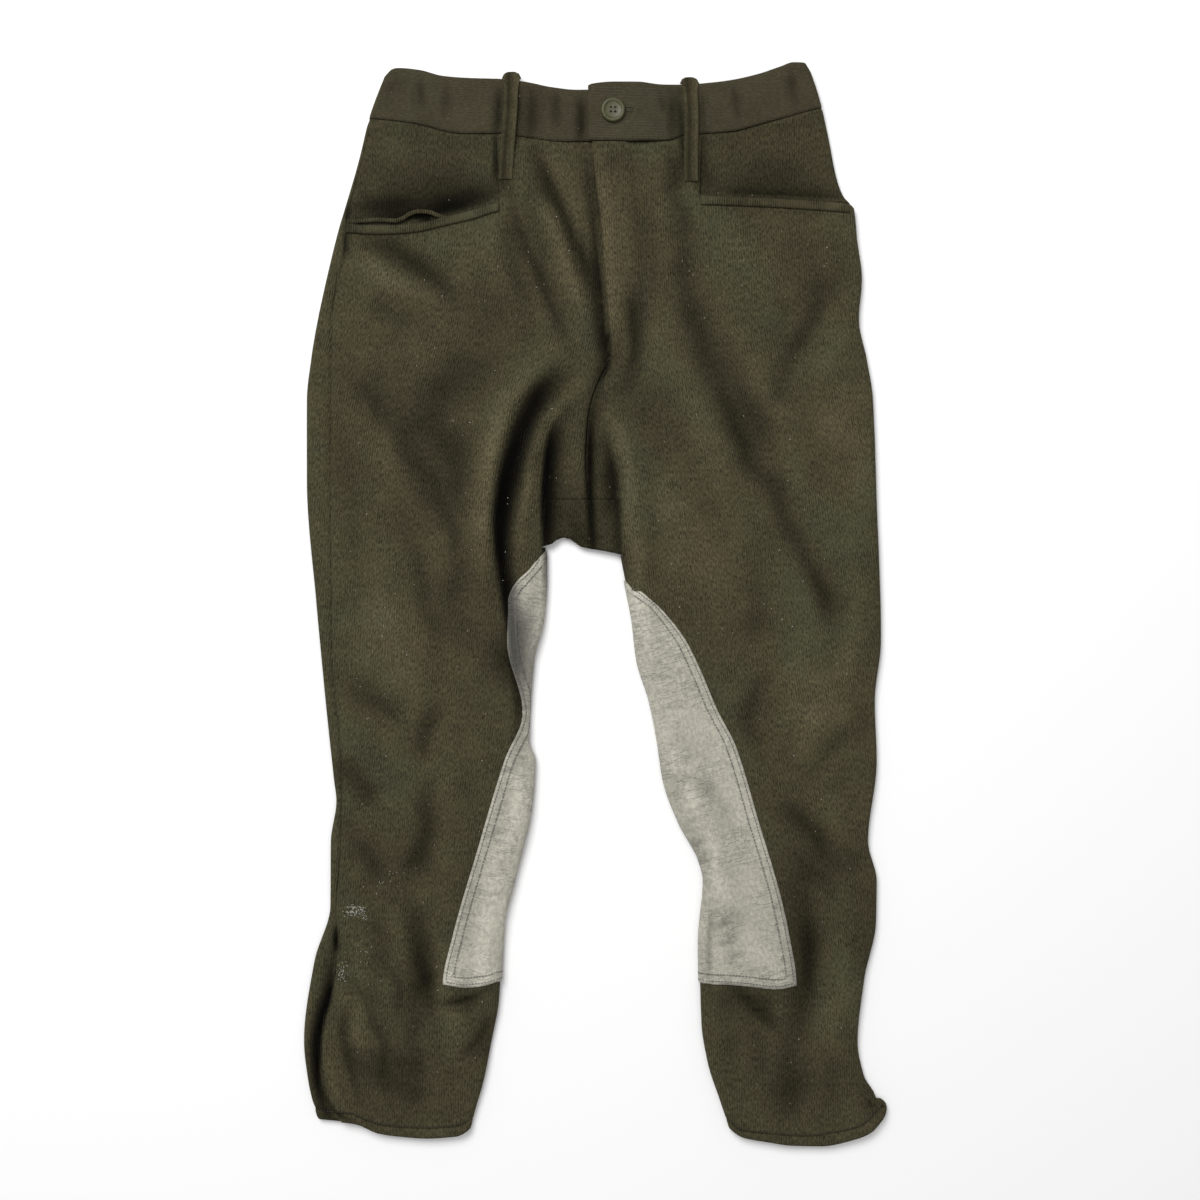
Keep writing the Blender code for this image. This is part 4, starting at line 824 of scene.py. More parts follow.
def wool_cloth(name, rib_share, pale=1.0, nap_share=1.0, olive=OLIVE, brown=BROWN_WOOL):
    """Whipcord wool: fine ribs, a slanting heather nap, olive that has turned brown in places."""
    made = Finish(name, Metallic=0.0, Roughness=0.92, Sheen_Weight=0.05, Sheen_Roughness=0.5,
                  Specular_IOR_Level=0.05)
    made.shader.inputs["Sheen Tint"].default_value = (0.8, 0.75, 0.5, 1)
    uv, across, along = made.grain()
    place = made.place()
    waver = made.noise(made.stretched(uv, (1, 0.22, 1)), 120, 2)
    turn = (across + waver * 0.0026) * (2 * math.pi / (RIB * MM))
    ribs = made.node("ShaderNodeMath", {"operation": "SINE"}, {0: turn})
    nap = made.noise(made.vector(across + along * 0.24, along * 0.3), 1000, 1, 0.5)
    cross_nap = made.noise(made.vector(across - along * 0.26, along * 0.32), 880, 1, 0.5)
    curl = made.noise(made.stretched(uv, (1, 0.7, 1)), 300, 1, 0.5, 0.8)
    curl = made.node("ShaderNodeMath", {"operation": "ABSOLUTE"}, {0: curl - 0.5})
    hairs = made.smooth(curl, 0.012, 0.0) * made.smooth(made.noise(place, 120, 1), 0.5, 0.66)
    heather = made.smooth(nap, 0.3, 0.7) * 0.5 + made.smooth(cross_nap, 0.3, 0.7) * 0.5
    fluff = made.noise(made.stretched(uv, (1, 0.6, 1)), 2300, 2, 0.6)
    cloud = made.noise(place, 24, 4, 0.66, 0.7)
    blotch = made.noise(place, 70, 3, 0.6, 0.4)
    broken = made.smooth(made.noise(place, 46, 2), 0.35, 0.65)
    turned_brown = made.smooth(cloud * 0.8 + made.mark("brown") * 0.75 + blotch * 0.25, 0.42, 0.95)
    base = made.mix(turned_brown, olive, brown)
    level_of = 0.62 - 0.50 * nap_share + heather * (1.0 * nap_share)
    level_of = level_of + blotch * 0.5 + fluff * 0.26 + hairs * 0.75
    level_of = level_of + ribs * (0.3 + broken * 0.7) * rib_share
    # The shade mark multiplies painted shade and painted highlights into the wool's colour
    level_of = level_of * made.mark("shade") * pale
    base = made.mix(1.0, base, made.grey(level_of), "MULTIPLY")
    fleck = made.node("ShaderNodeTexVoronoi", {"feature": "F1"},
                      {"Vector": place, "Scale": 150.0, "Randomness": 1.0}, out="Distance")
    lint = made.smooth(fleck, 0.1, 0.04) * made.smooth(made.noise(place, 290, 0), 0.64, 0.7)
    base = made.mix(lint * 0.7, base, (0.24, 0.23, 0.18))
    felt = made.raised(fluff + heather * 0.8, 0.0006, 0.8)
    normal = made.raised(ribs * broken, 0.0004, 4 * rib_share, felt)
    return made.wire(Base_Color=base, Roughness=0.86 + nap * 0.12, Normal=normal)


def suede_cloth(name):
    """Pale grey suede, crinkled across, with a paler rubbed rim."""
    made = Finish(name, Metallic=0.0, Roughness=0.95, Sheen_Weight=0.2, Sheen_Roughness=0.6,
                  Specular_IOR_Level=0.12)
    uv, across, along = made.grain()
    place = made.place()
    edge = made.mark("edge")
    cloud = made.noise(place, 34, 4, 0.62, 0.8)
    nap = made.noise(made.stretched(uv, (1, 0.6, 1)), 400, 3, 0.7)
    fuzz = made.noise(uv, 2600, 2, 0.6)
    pull = made.noise(place, 60, 2)
    streak = made.noise(made.vector(across * 0.24 + pull * 0.006, along + across * 0.25), 190, 3, 0.6)
    middle = made.node("ShaderNodeMath", {"operation": "ABSOLUTE"}, {0: streak - 0.5})
    crease = made.smooth(middle, 0.0, 0.045)
    where = made.smooth(made.noise(place, 42, 1), 0.42, 0.6)
    crease = 1.0 - (1.0 - crease) * where
    crinkle = made.noise(made.stretched(uv, (1, 0.8, 1)), 340, 3, 0.65, 0.8)
    rim = made.smooth(edge, 2.3, 1.0)
    piping = made.smooth(edge, 9.6, 8.6) * made.smooth(edge, 7.0, 7.8) + made.smooth(edge, 3.4, 2.8) * 0.5
    ticks = made.noise(made.stretched(uv, (0.1, 1, 1)), 420, 1)
    base = made.mix(made.smooth(cloud, 0.3, 0.7), (0.505, 0.482, 0.402), (0.455, 0.435, 0.362))
    level_of = 0.54 + made.smooth(nap, 0.36, 0.64) * 0.24 + crinkle * 0.42 + fuzz * 0.12 + rim * 0.16
    # The crease term is painted shade along the suede's creases
    level_of = level_of - (1.0 - crease) * 0.08 - piping * made.smooth(ticks, 0.45, 0.6) * 0.26
    # The shade mark multiplies painted shade and painted highlights into the suede's colour
    level_of = level_of * (0.1 + made.mark("shade") * 0.9)
    base = made.mix(1.0, base, made.grey(level_of), "MULTIPLY")
    felt = made.raised(fuzz + nap * 0.8, 0.0005, 0.7)
    folds = made.raised(crinkle + crease * 0.5 + piping * ticks * 1.2, 0.0012, 0.8, felt)
    return made.wire(Base_Color=base, Roughness=0.88 + nap * 0.12, Normal=folds)


def button_resin(name):
    """Olive resin button with a soft cloudy grain."""
    made = Finish(name, Metallic=0.0, Roughness=0.38, Specular_IOR_Level=0.32, Coat_Weight=0.05,
                  Coat_Roughness=0.3)
    place = made.place()
    cloud = made.noise(place, 220, 3, 0.6, 1.5)
    fine = made.noise(place, 1500, 2)
    base = made.mix(made.smooth(cloud, 0.3, 0.72), (0.070, 0.067, 0.027), (0.044, 0.043, 0.018))
    normal = made.raised(fine, 0.00015, 0.4)
    return made.wire(Base_Color=base, Roughness=0.3 + fine * 0.2, Normal=normal)


def sewing_thread(name, colour):
    made = Finish(name, Metallic=0.0, Roughness=0.75, Sheen_Weight=0.2, Specular_IOR_Level=0.3)
    place = made.place()
    ply = made.noise(place, 1800, 2, 0.6)
    base = made.mix(1.0, colour, made.grey(0.6 + ply * 0.8), "MULTIPLY")
    return made.wire(Base_Color=base, Normal=made.raised(ply, 0.0002, 0.6))


panel_wool = wool_cloth("whipcord_wool", 0.16)
yoke_wool = wool_cloth("yoke_wool", 0.14, 0.82)
band_cloth = wool_cloth("waistband_wool", 0.05, 1.0, 0.45, (0.0545, 0.0495, 0.029), (0.0525, 0.0445, 0.0265))
welt_wool = wool_cloth("welt_wool", 0.34, 1.15, 0.3)
loop_wool = wool_cloth("loop_wool", 0.03, 0.97, 0.7)
suede = suede_cloth("knee_suede")
resin = button_resin("button_resin")
grey_thread = sewing_thread("grey_thread", (0.11, 0.107, 0.093))
band_thread = sewing_thread("band_thread", (0.075, 0.068, 0.042))
dark_thread = sewing_thread("dark_thread", (0.02, 0.018, 0.011))
white_thread = sewing_thread("white_lint", (0.5, 0.48, 0.42))
worn_thread = sewing_thread("worn_fibre", (0.4, 0.39, 0.34))


# Making the pieces

def mesh_of(name, bm):
    """Turn a bmesh into a mesh."""
    mesh = bpy.data.meshes.new(name)
    bm.to_mesh(mesh)
    bm.free()
    return mesh


def placed(name, data):
    """Put a new object in the scene."""
    made = bpy.data.objects.new(name, data)
    bpy.context.scene.collection.objects.link(made)
    return made


def riding(name, mesh, look, slot):
    """A smooth piece that rides on the garment."""
    mesh.shade_smooth()
    mesh.materials.append(look)
    made = placed(name, mesh)
    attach(made, "root")
    return made


def own(name, bm, look, slot, node=None):
    """Turn a bmesh in millimetres into a piece, which may stand for a node of the frame."""
    bmesh.ops.scale(bm, verts=bm.verts, vec=(MM, MM, MM))
    made = riding(name, mesh_of(name, bm), look, slot)
    if node:
        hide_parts(node)
    return made


def corners_of(grid):
    return np.stack([grid["x"], LENGTH / 2 - grid["depth"], grid["height"]], axis=-1)


def normals_of(points, faces_up):
    """Outward direction at every point of a grid of points."""
    across = np.gradient(points, axis=0)
    along = np.gradient(points, axis=1)
    normal = np.cross(along, across)
    normal /= np.maximum(np.linalg.norm(normal, axis=-1, keepdims=True), 1e-9)
    middle = normal[..., 2].sum()
    return normal if (middle > 0) == faces_up else -normal


def cloth(name, grid, look, slot, keep=None, wall=CLOTH, faces_up=True, moved=0.0, rolled=0.7, grain=None,
          shown=1.0, marks=None, node=True):
    """One cloth piece: the cells of a grid that it keeps, moved out, with rolled edges and its wall."""
    points = corners_of(grid)
    normal = normals_of(points, faces_up)
    points = points + normal * moved
    columns, rows = points.shape[0] - 1, points.shape[1] - 1
    bm = bmesh.new()
    bmesh.ops.create_grid(bm, x_segments=columns, y_segments=rows, size=0.5)
    mesh = bpy.data.meshes.new("blank")
    bm.to_mesh(mesh)
    flat = np.empty(len(mesh.vertices) * 3)
    mesh.vertices.foreach_get("co", flat)
    column = np.rint((flat[0::3] + 0.5) * columns).astype(int)
    row = np.rint((0.5 - flat[1::3]) * rows).astype(int)
    mesh.vertices.foreach_set("co", points[column, row].ravel())
    across, along = grain or (grid["out"], grid["depth"])
    # The shade mark is painted shade and painted highlight, weakened where shown is below 1; brown is the
    # dye's own tone
    values = {"shade": read_sheet(SHADE_SHEET, grid["x"], grid["depth"]) ** shown,
              "brown": read_sheet(BROWN_SHEET, grid["x"], grid["depth"])}
    values.update(marks or {})
    for key, value in values.items():
        mark = mesh.attributes.new(key, "FLOAT", "POINT")
        mark.data.foreach_set("value", value[column, row].astype(np.float32))
    used = np.empty(len(mesh.loops), dtype=int)
    mesh.loops.foreach_get("vertex_index", used)
    uv = mesh.uv_layers.new(name="grain")
    pair = np.stack([across[column, row][used], along[column, row][used]], axis=-1) * MM
    uv.data.foreach_set("uv", pair.ravel().astype(np.float32))
    bm.clear()
    bm.from_mesh(mesh)
    bpy.data.meshes.remove(mesh)
    bm.normal_update()
    facing = sum(face.normal.z * face.calc_area() for face in bm.faces)
    if (facing > 0) != faces_up:
        bmesh.ops.reverse_faces(bm, faces=bm.faces)
    if keep:
        u, v = grid["u"], grid["v"]
        bm.verts.index_update()
        spots = {vert: (u[c, r], v[c, r]) for vert, c, r in zip(bm.verts, column, row)}
        doomed = []
        for face in bm.faces:
            corners = [spots[vert] for vert in face.verts]
            if not keep(sum(c[0] for c in corners) / 4, sum(c[1] for c in corners) / 4):
                doomed.append(face)
        bmesh.ops.delete(bm, geom=doomed, context="FACES")
    for _ in range(6):
        bm.normal_update()
        folded = [vert for vert in bm.verts if vert.co.z < 0.4 and vert.normal.z > -0.3]
        bmesh.ops.smooth_vert(bm, verts=folded, factor=0.5, use_axis_x=True, use_axis_y=True,
                              use_axis_z=True)
    bm.normal_update()
    rim = [vert for vert in bm.verts if vert.is_boundary]
    sunk = {vert: vert.normal * (rolled(*spots[vert]) if callable(rolled) else rolled) for vert in rim}
    for vert, push in sunk.items():
        vert.co -= push
    for _ in range(3):
        bm.normal_update()
        for vert in bm.verts:
            vert.co.z = max(vert.co.z, vert.normal.z * wall, 0)
    made = own(name + "_cloth", bm, look, slot, name if node else None)
    solid = made.modifiers.new("wall", "SOLIDIFY")
    solid.thickness = wall * MM
    solid.offset = -1
    solid.use_even_offset = False
    solid.use_rim = True
    sheets.append(made)


sheets = []

# Steps of a front's grid: side, pocket line, patch line, inner line, end of the turn, inseam, patch end
TOP_STEPS = tuple(n // PLY for n in (44, 26, 18, 6, 4, 8))
UNDER_STEPS = (6, 8)
# Steps down: mouth, hip, crotch seam, crotch, patch top, patch foot, hem
DOWN_STEPS = tuple(n // PLY for n in (30, 32, 64, 18, 8, 128, 44))
MOUTH, AT_HIP, AT_SEAM, AT_CROTCH, AT_PATCH, AT_FOOT, AT_HEM = range(1, 8)


def front_lines(leg, drop=0.0):
    """Lines down a front, from the side seam to where the patch ends beneath.

    With them go the steps between them, and the number of the line where the top of the front starts.
    """
    side = leg["side"]

    def inner_line(depth, below):
        upper = leg["inner_upper"](depth)
        lower = leg["inner"](depth) + inner_edge(leg, depth)[1]
        return upper + (lower - upper) * fade(depth, CROTCH_SEAM, leg["crotch"])

    def middle(depth, below):
        upper = side * FLY_EDGE(depth) + (2 * GAP - FLY_UNDERLAP(depth) if side < 0 else 0)
        return np.where(below, beneath_inner(leg, depth, INSEAM), upper)

    def turned(depth, below):
        upper = inner_line(depth, below) * 0.2 + middle(depth, below) * 0.8
        return np.where(below, leg["inner"](depth) + inner_edge(leg, depth)[1] - EDGE_TURN, upper)

    def patch_end(depth, below):
        return np.where(below, beneath_inner(leg, depth, PATCH_UNDER), middle(depth, below) - 1)

    top = [down(leg["pocket"]), down(leg["patch"]), inner_line, turned, middle, patch_end]
    if side < 0:
        return [down(leg["seam"], -GAP)] + top, TOP_STEPS, 0
    seam = lambda depth, below: beneath_outer(leg, depth, SIDE_UNDER, drop)
    return [seam, down(leg["outer"], EDGE_TURN - EDGE_READ), down(leg["outer"], -EDGE_READ)] + top, \
        UNDER_STEPS + TOP_STEPS, len(UNDER_STEPS)


def front_levels(leg):
    """The patch runs to a point at the top of the leg's inner edge."""
    top = leg["patch_top"]
    point = lambda x: top + np.clip(1.2 * (leg["side"] * x - leg["inner"](top)), 0, 9)
    return [lambda x: WAIST_SEAM(x) + GAP, leg["mouth"], level(HIP), level(CROTCH_SEAM), level(leg["crotch"]),
            point, leg["patch_foot"], leg["hem_seam"]]


def front_surface(leg):
    """The left front laps over the right one at the fly."""
    def surface(out, depth, below):
        x, height = ring(leg, out, depth, below)
        if leg["side"] > 0:
            across = 1 - fade(x - FLY_EDGE(depth), FLY_FACING, FLY_FACING + 9)
            height = height + FLY_LIFT * across * (1 - fade(depth, 256, 276))
        return x, height
    return surface


def leg_grain(leg, grid):
    return grid["out"] - leg["pocket"](grid["depth"]), grid["depth"]


def make_front(leg, name):
    lines, steps, first = front_lines(leg)
    pocket, inner, middle = first + 1, first + 3, first + 5
    grid = lay(lines, steps, front_levels(leg), DOWN_STEPS, front_surface(leg), AT_CROTCH)

    def kept(u, v):
        in_yoke = u < pocket and v < MOUTH
        past_inner = u > inner and AT_SEAM < v < AT_CROTCH
        return not in_yoke and not past_inner and u < middle

    def rolled(u, v):
        at_gusset = AT_SEAM - 0.02 < v < AT_CROTCH + 0.1 and inner - 0.5 < u
        at_seam = v < 0.02 or v > AT_HEM - 0.02
        return 0.15 if at_gusset else 0.3 if at_seam else 0.7

    cloth("front_" + name, grid, panel_wool, "wool", kept, grain=leg_grain(leg, grid), rolled=rolled)
    return grid


def make_yoke(leg, name):
    """The pocket's inner piece, which shows above the mouth and runs on beneath the front."""
    lines, steps, first = front_lines(leg, POCKET_DROP)

    def surface(out, depth, below):
        waist = WAIST_SEAM(leg["side"] * np.clip(out, 0, 184))
        return ring(leg, out, depth, below, POCKET_DROP * fade(depth - waist, 0, 14))

    grid = lay(lines, steps, front_levels(leg), DOWN_STEPS, surface, AT_CROTCH)
    beyond = first + 1 + 3 / TOP_STEPS[1]
    below = MOUTH + 7 / DOWN_STEPS[1]
    clear = first + 3 / TOP_STEPS[0]
    cloth("hip_yoke_" + name, grid, yoke_wool, "wool",
          lambda u, v: u < beyond and (v < MOUTH or (v < below and u > clear)), grain=leg_grain(leg, grid))


def make_welt(leg, name):
    """Narrow rolled band along the pocket mouth, on the front."""
    lines, steps, first = front_lines(leg)
    levels = [lambda at: leg["mouth"](at) + GAP, lambda at: leg["mouth"](at) + WELT_DEEP]
    grid = lay(lines, steps, levels, (6,), front_surface(leg), crotch_level=2)
    grid["height"] = grid["height"] + 0.9 * np.sin(math.pi * grid["v"])
    cloth("pocket_welt_" + name, grid, welt_wool, "wool", lambda u, v: first < u < first + 1,
          wall=WELT, moved=WELT + GAP, grain=(grid["out"], grid["depth"]))


def make_gusset(leg, name):
    """Crotch piece below the cross seam, between the legs."""
    side = leg["side"]
    inner_line = front_lines(leg)[0][-4]
    outside = lambda depth, below: inner_line(depth, below) - SEWN
    centre = lambda depth, below: side * FLY_EDGE(depth) + (SEWN if side < 0 else 0)

    def surface(out, depth, below):
        return side * out, relief(side * out, depth)

    grid = lay([outside, centre], (20,), [level(CROTCH_SEAM + SEWN), CROTCH_EDGE], (18,), surface)
    cloth("gusset_" + name, grid, panel_wool, "wool", grain=leg_grain(leg, grid), rolled=0.2)


def make_patch(leg, name, grid):
    """Knee patch, made from the front's own points and carried round the inner edge."""
    patch = front_lines(leg)[2] + 2
    side_edge = leg["patch"](grid["depth"]) - grid["out"]
    foot_edge = leg["patch_foot"](grid["x"]) - grid["depth"]
    cloth("knee_patch_" + name, grid, suede, "suede",
          lambda u, v: u > patch and AT_PATCH < v < AT_FOOT, wall=PATCH, moved=PATCH_OUT, rolled=0.4,
          grain=leg_grain(leg, grid), marks={"edge": np.minimum(side_edge, foot_edge)})


def back_lines(leg):
    """Lines down a back, from its side seam to the centre back or the inseam."""
    side = leg["side"]

    def guide(depth, below):
        upper = leg["inner_upper"](depth) + 4
        past_bed = PATCH_UNDER + PATCH_FADE + 4
        reach = INSEAM + 4 + (past_bed - INSEAM - 4) * fade(depth, leg["crotch"] + 1, leg["patch_top"] - 2)
        share = fade(depth, CROTCH_SEAM - 60, leg["crotch"] - 2)
        return upper + (leg["inner"](depth) + reach - upper) * share

    def middle(depth, below):
        return np.where(below, leg["inner"](depth) + INSEAM + GAP, side * CENTRE_BACK + GAP / 2)

    return guide, middle


def creased_under(x, depth):
    """Lift of the back off the table: soft creases like the front's, pressed nearly flat."""
    room = np.clip(relief(x, depth) - LOWEST - 0.6, 0, 2.2)
    wave = read_sheet(UNDER_SHEET, x, depth)
    return np.clip(wave, 0, 1) * room * 0.8


def back_surface(leg, flap_drop):
    def surface(out, depth, below):
        side = leg["side"]
        drop = flap_drop(depth)
        height = relief(side * out, depth) - drop
        if side < 0:
            lapped = 1 - fade(depth, VENT_TOP - 18, VENT_TOP)
            height = height - (CLOTH + 2 * GAP) * lapped * (1 - fade(out - leg["seam"](depth), -1.5, 2.5))
        over, rise, past, turned = round_edge(out, *outer_edge(leg, depth, drop))
        reach = np.where(depth > leg["crotch"] - 8, turned - leg["inner"](depth), 99)
        low = np.where(past > 0, bed(leg, reach, depth), 0)
        creased = fade(past, 3, 14) * fade(reach, 12, 26) * creased_under(side * turned, depth)
        place = np.where(over > 0, turned, out)
        height = np.where(over > 0, low + creased + rise, height)
        return side * place, height
    return surface


def make_back(leg, name):
    """A back lies beneath. The right one comes round to the side seam on top, and laps under the vent."""
    side = leg["side"]
    guide, middle = back_lines(leg)

    def flap_drop(depth):
        if side > 0:
            return 0 * depth
        pocket = fade(depth, 46, 60) * (1 - fade(depth, 116, 132))
        return POCKET_DROP * pocket + VENT_DROP * fade(depth, VENT_TOP - 18, VENT_TOP + 4)

    def under(out_at, depth):
        edge, radius = outer_edge(leg, depth, flap_drop(depth))
        return 2 * (edge - radius) + EDGE_TURN - out_at

    if side < 0:
        def top_end(depth, below):
            return leg["seam"](depth) - 4 - (VENT_LAP - 4) * fade(depth, VENT_TOP + 8, VENT_TOP + 24)

        lines = [top_end, down(leg["outer"], 1.0), down(leg["outer"], EDGE_TURN - 3.0)]
        steps = [10, 5]
    else:
        lines = [lambda depth, below: under(leg["outer"](depth) - SIDE_UNDER - GAP, depth)]
        steps = []
    lines += [lambda depth, below: under(leg["outer"](depth) - 30, depth),
              lambda depth, below: under(guide(depth, below), depth),
              lambda depth, below: under(middle(depth, below), depth)]
    steps += [6, 34, 14]
    levels = front_levels(leg)
    levels[0] = lambda x: WAIST_SEAM_BACK(x) + GAP
    levels[AT_CROTCH:AT_CROTCH + 1] = [CROTCH_EDGE, lambda x: CROTCH_EDGE(x) + 2 * GAP]
    rows = (14, 15, 32, 9, 1, 4, 64, 22)
    surface = back_surface(leg, flap_drop)
    grid = lay(lines, steps, levels, rows, surface, crotch_level=AT_CROTCH + 1)
    cloth("back_" + name, grid, panel_wool, "wool", faces_up=False, grain=leg_grain(leg, grid),
          shown=np.where(grid["height"] > 4, 1.0, 0.4),
          keep=lambda u, v: u < len(steps) - 1 or not AT_CROTCH < v < AT_CROTCH + 1)
    return lines, steps, surface


def make_hems(leg, name, back):
    """Turned hems, front and back, below their stitch lines."""
    levels = [lambda x: leg["hem_seam"](x) + SEWN, leg["hem"]]
    lines, steps, _ = front_lines(leg)
    grid = lay(lines, steps, levels, (6,), front_surface(leg))
    grid["height"] = grid["height"] + 0.4 * np.sin(math.pi * grid["v"]) * (grid["height"] > LOWEST)
    cloth("hem_front_" + name, grid, panel_wool, "wool", lambda u, v: u < len(steps) - 1, wall=HEM,
          grain=leg_grain(leg, grid), rolled=0.3)
    lines, steps, surface = back
    grid = lay(lines, steps, levels, (4,), surface)
    cloth("hem_back_" + name, grid, panel_wool, "wool", wall=HEM, faces_up=False, grain=leg_grain(leg, grid))


def band_surface(side):
    """The waistband's outer face, flat in front and turned round the side."""
    leg = LEFT_LEG if side > 0 else RIGHT_LEG
    radius = BAND_FACE / 2

    def surface(out, depth, below):
        over, rise, _, turned = round_edge(out, leg["outer"](depth), radius)
        x = side * np.where(over > 0, turned, out)
        height = rise + fade(-over, 0, 12) * read_sheet(BAND_SHEET, x, depth)
        if side > 0:
            height = height + (BAND + GAP) * (1 - fade(x, TAB_FLAT, TAB_SEAM))
        return x, height
    return surface


def make_waistband(leg, name):
    """Half of the waistband: its front, carried round the side."""
    side = leg["side"]
    top = BAND_TOP_LEFT if side > 0 else BAND_TOP_RIGHT
    end = TAB_END if side > 0 else BAND_RIGHT_END
    radius = BAND_FACE / 2
    lines = [down(leg["outer"], EDGE_TURN + BAND_UNDER - 2 * radius), down(leg["outer"], EDGE_TURN - radius),
             down(leg["outer"], -radius), lambda depth, below: side * end]
    levels = [top, lambda x: WAIST_SEAM(x) - GAP / 2]
    grid = lay(lines, (6, 10, 84), levels, (18,), band_surface(side))
    cloth("waistband_" + name, grid, band_cloth, "band_wool", wall=BAND, shown=0.95,
          grain=(grid["depth"], grid["out"]), rolled=0.3)


def make_waistband_back():
    """The waistband's back, flat on the table between its two sides."""
    right = lambda depth, below: BAND_UNDER + GAP - RIGHT_LEG["outer"](depth)
    left = lambda depth, below: LEFT_LEG["outer"](depth) - BAND_UNDER - GAP
    top = lambda x: 1.5 + np.where(x < 0, BAND_TOP_RIGHT(x), BAND_TOP_LEFT(x))
    grid = lay([right, left], (90,), [top, lambda x: WAIST_SEAM_BACK(x) - GAP / 2], (12,),
               lambda x, depth, below: (x, 0.5 * np.clip(read_sheet(UNDER_SHEET, x, depth), 0, 1)))
    cloth("waistband_back", grid, band_cloth, "band_wool", wall=BAND, faces_up=False, shown=0.0,
          grain=(grid["depth"], grid["out"]))


# Columns: x and depth of the top, x and depth of the bottom
BELT_LOOPS = {"right": ((-68, 8.2), (-72, 95.5)), "left": ((76, 12.5), (78.6, 97))}


def make_loop(name):
    """Belt loop: sewn below the seam, free over the band, folded over above its top edge."""
    (top_x, top_d), (foot_x, foot_d) = BELT_LOOPS[name]
    across = np.array([top_x - LOOP_WIDTH / 2, top_x, top_x + LOOP_WIDTH / 2])
    band_top = float((BAND_TOP_LEFT if name == "left" else BAND_TOP_RIGHT)(across).min()) - GAP
    seam = float(WAIST_SEAM(np.array(foot_x)))
    face = BAND_FACE + LOOP_WALL + GAP + value_at(BAND_SHEET, top_x, 30)
    lay_height = value_at(TOP_SHEET, foot_x, foot_d - 6) + LOOP_WALL + GAP
    centre_d, centre_z = top_d + LOOP_FOLD, face - LOOP_FOLD
    # Columns: depth, height of the outer face
    route = [(foot_d, lay_height - 0.5), (foot_d - 2, lay_height), (foot_d - 8, lay_height + 0.2),
             (foot_d - 16, lay_height + 1.2), (seam + 4, face + LOOP_LIFT - 0.6),
             (seam - 12, face + LOOP_LIFT), (seam - 24, face + LOOP_LIFT), (band_top + 12, face + 1.6),
             (band_top + 3, face + 0.6)]
    for turn in (0, 25, 50, 75, 100, 125, 150, 175):
        angle = math.radians(turn)
        route.append((centre_d - LOOP_FOLD * math.sin(angle), centre_z + LOOP_FOLD * math.cos(angle)))
    route.append((band_top - GAP, centre_z - LOOP_FOLD))
    fine, route_d, route_z = path(route, 61)
    crown = np.sin(np.linspace(-1, 1, LOOP_STEPS) * math.pi / 2)
    share = (route_d - top_d) / (foot_d - top_d)
    bulge = 0.24 * np.exp(-((route_d - top_d - 5) / 6) ** 2) - 0.5 * np.exp(-((route_d - top_d) / 1.8) ** 2)
    half_width = LOOP_WIDTH / 2 * (1 + bulge)
    lean = 0.8 * np.sin(share * 5)
    x = top_x + (foot_x - top_x) * share[None] + lean[None] + crown[:, None] * half_width[None]
    tube = 1.5 * (np.sqrt(1 - 0.98 * crown ** 2) - 1) - 0.5 * np.exp(-((crown + 0.25) / 0.3) ** 2)
    # Painted shade down the loop's left side and a painted highlight along its right, given as its shade mark
    shade = 0.9 - 0.5 * np.exp(-((crown + 0.3) / 0.38) ** 2) + 0.3 * np.exp(-((crown - 0.72) / 0.2) ** 2)
    grid = {"u": np.repeat(crown[:, None], 61, axis=1), "v": np.repeat(fine[None], LOOP_STEPS, axis=0),
            "x": x,
            "depth": np.repeat(route_d[None], LOOP_STEPS, axis=0),
            "height": route_z[None] + tube[:, None],
            "out": crown[:, None] * LOOP_WIDTH / 2 + 0 * x}
    along = np.concatenate([[0], np.cumsum(np.hypot(np.diff(route_d), np.diff(route_z)))])
    cloth("belt_loop_" + name, grid, loop_wool, "band_wool", wall=LOOP_WALL, rolled=0.4,
          grain=(grid["out"], np.repeat(along[None], LOOP_STEPS, axis=0)),
          marks={"shade": np.repeat(shade[:, None], 61, axis=1), "brown": 0.45 + 0 * x})


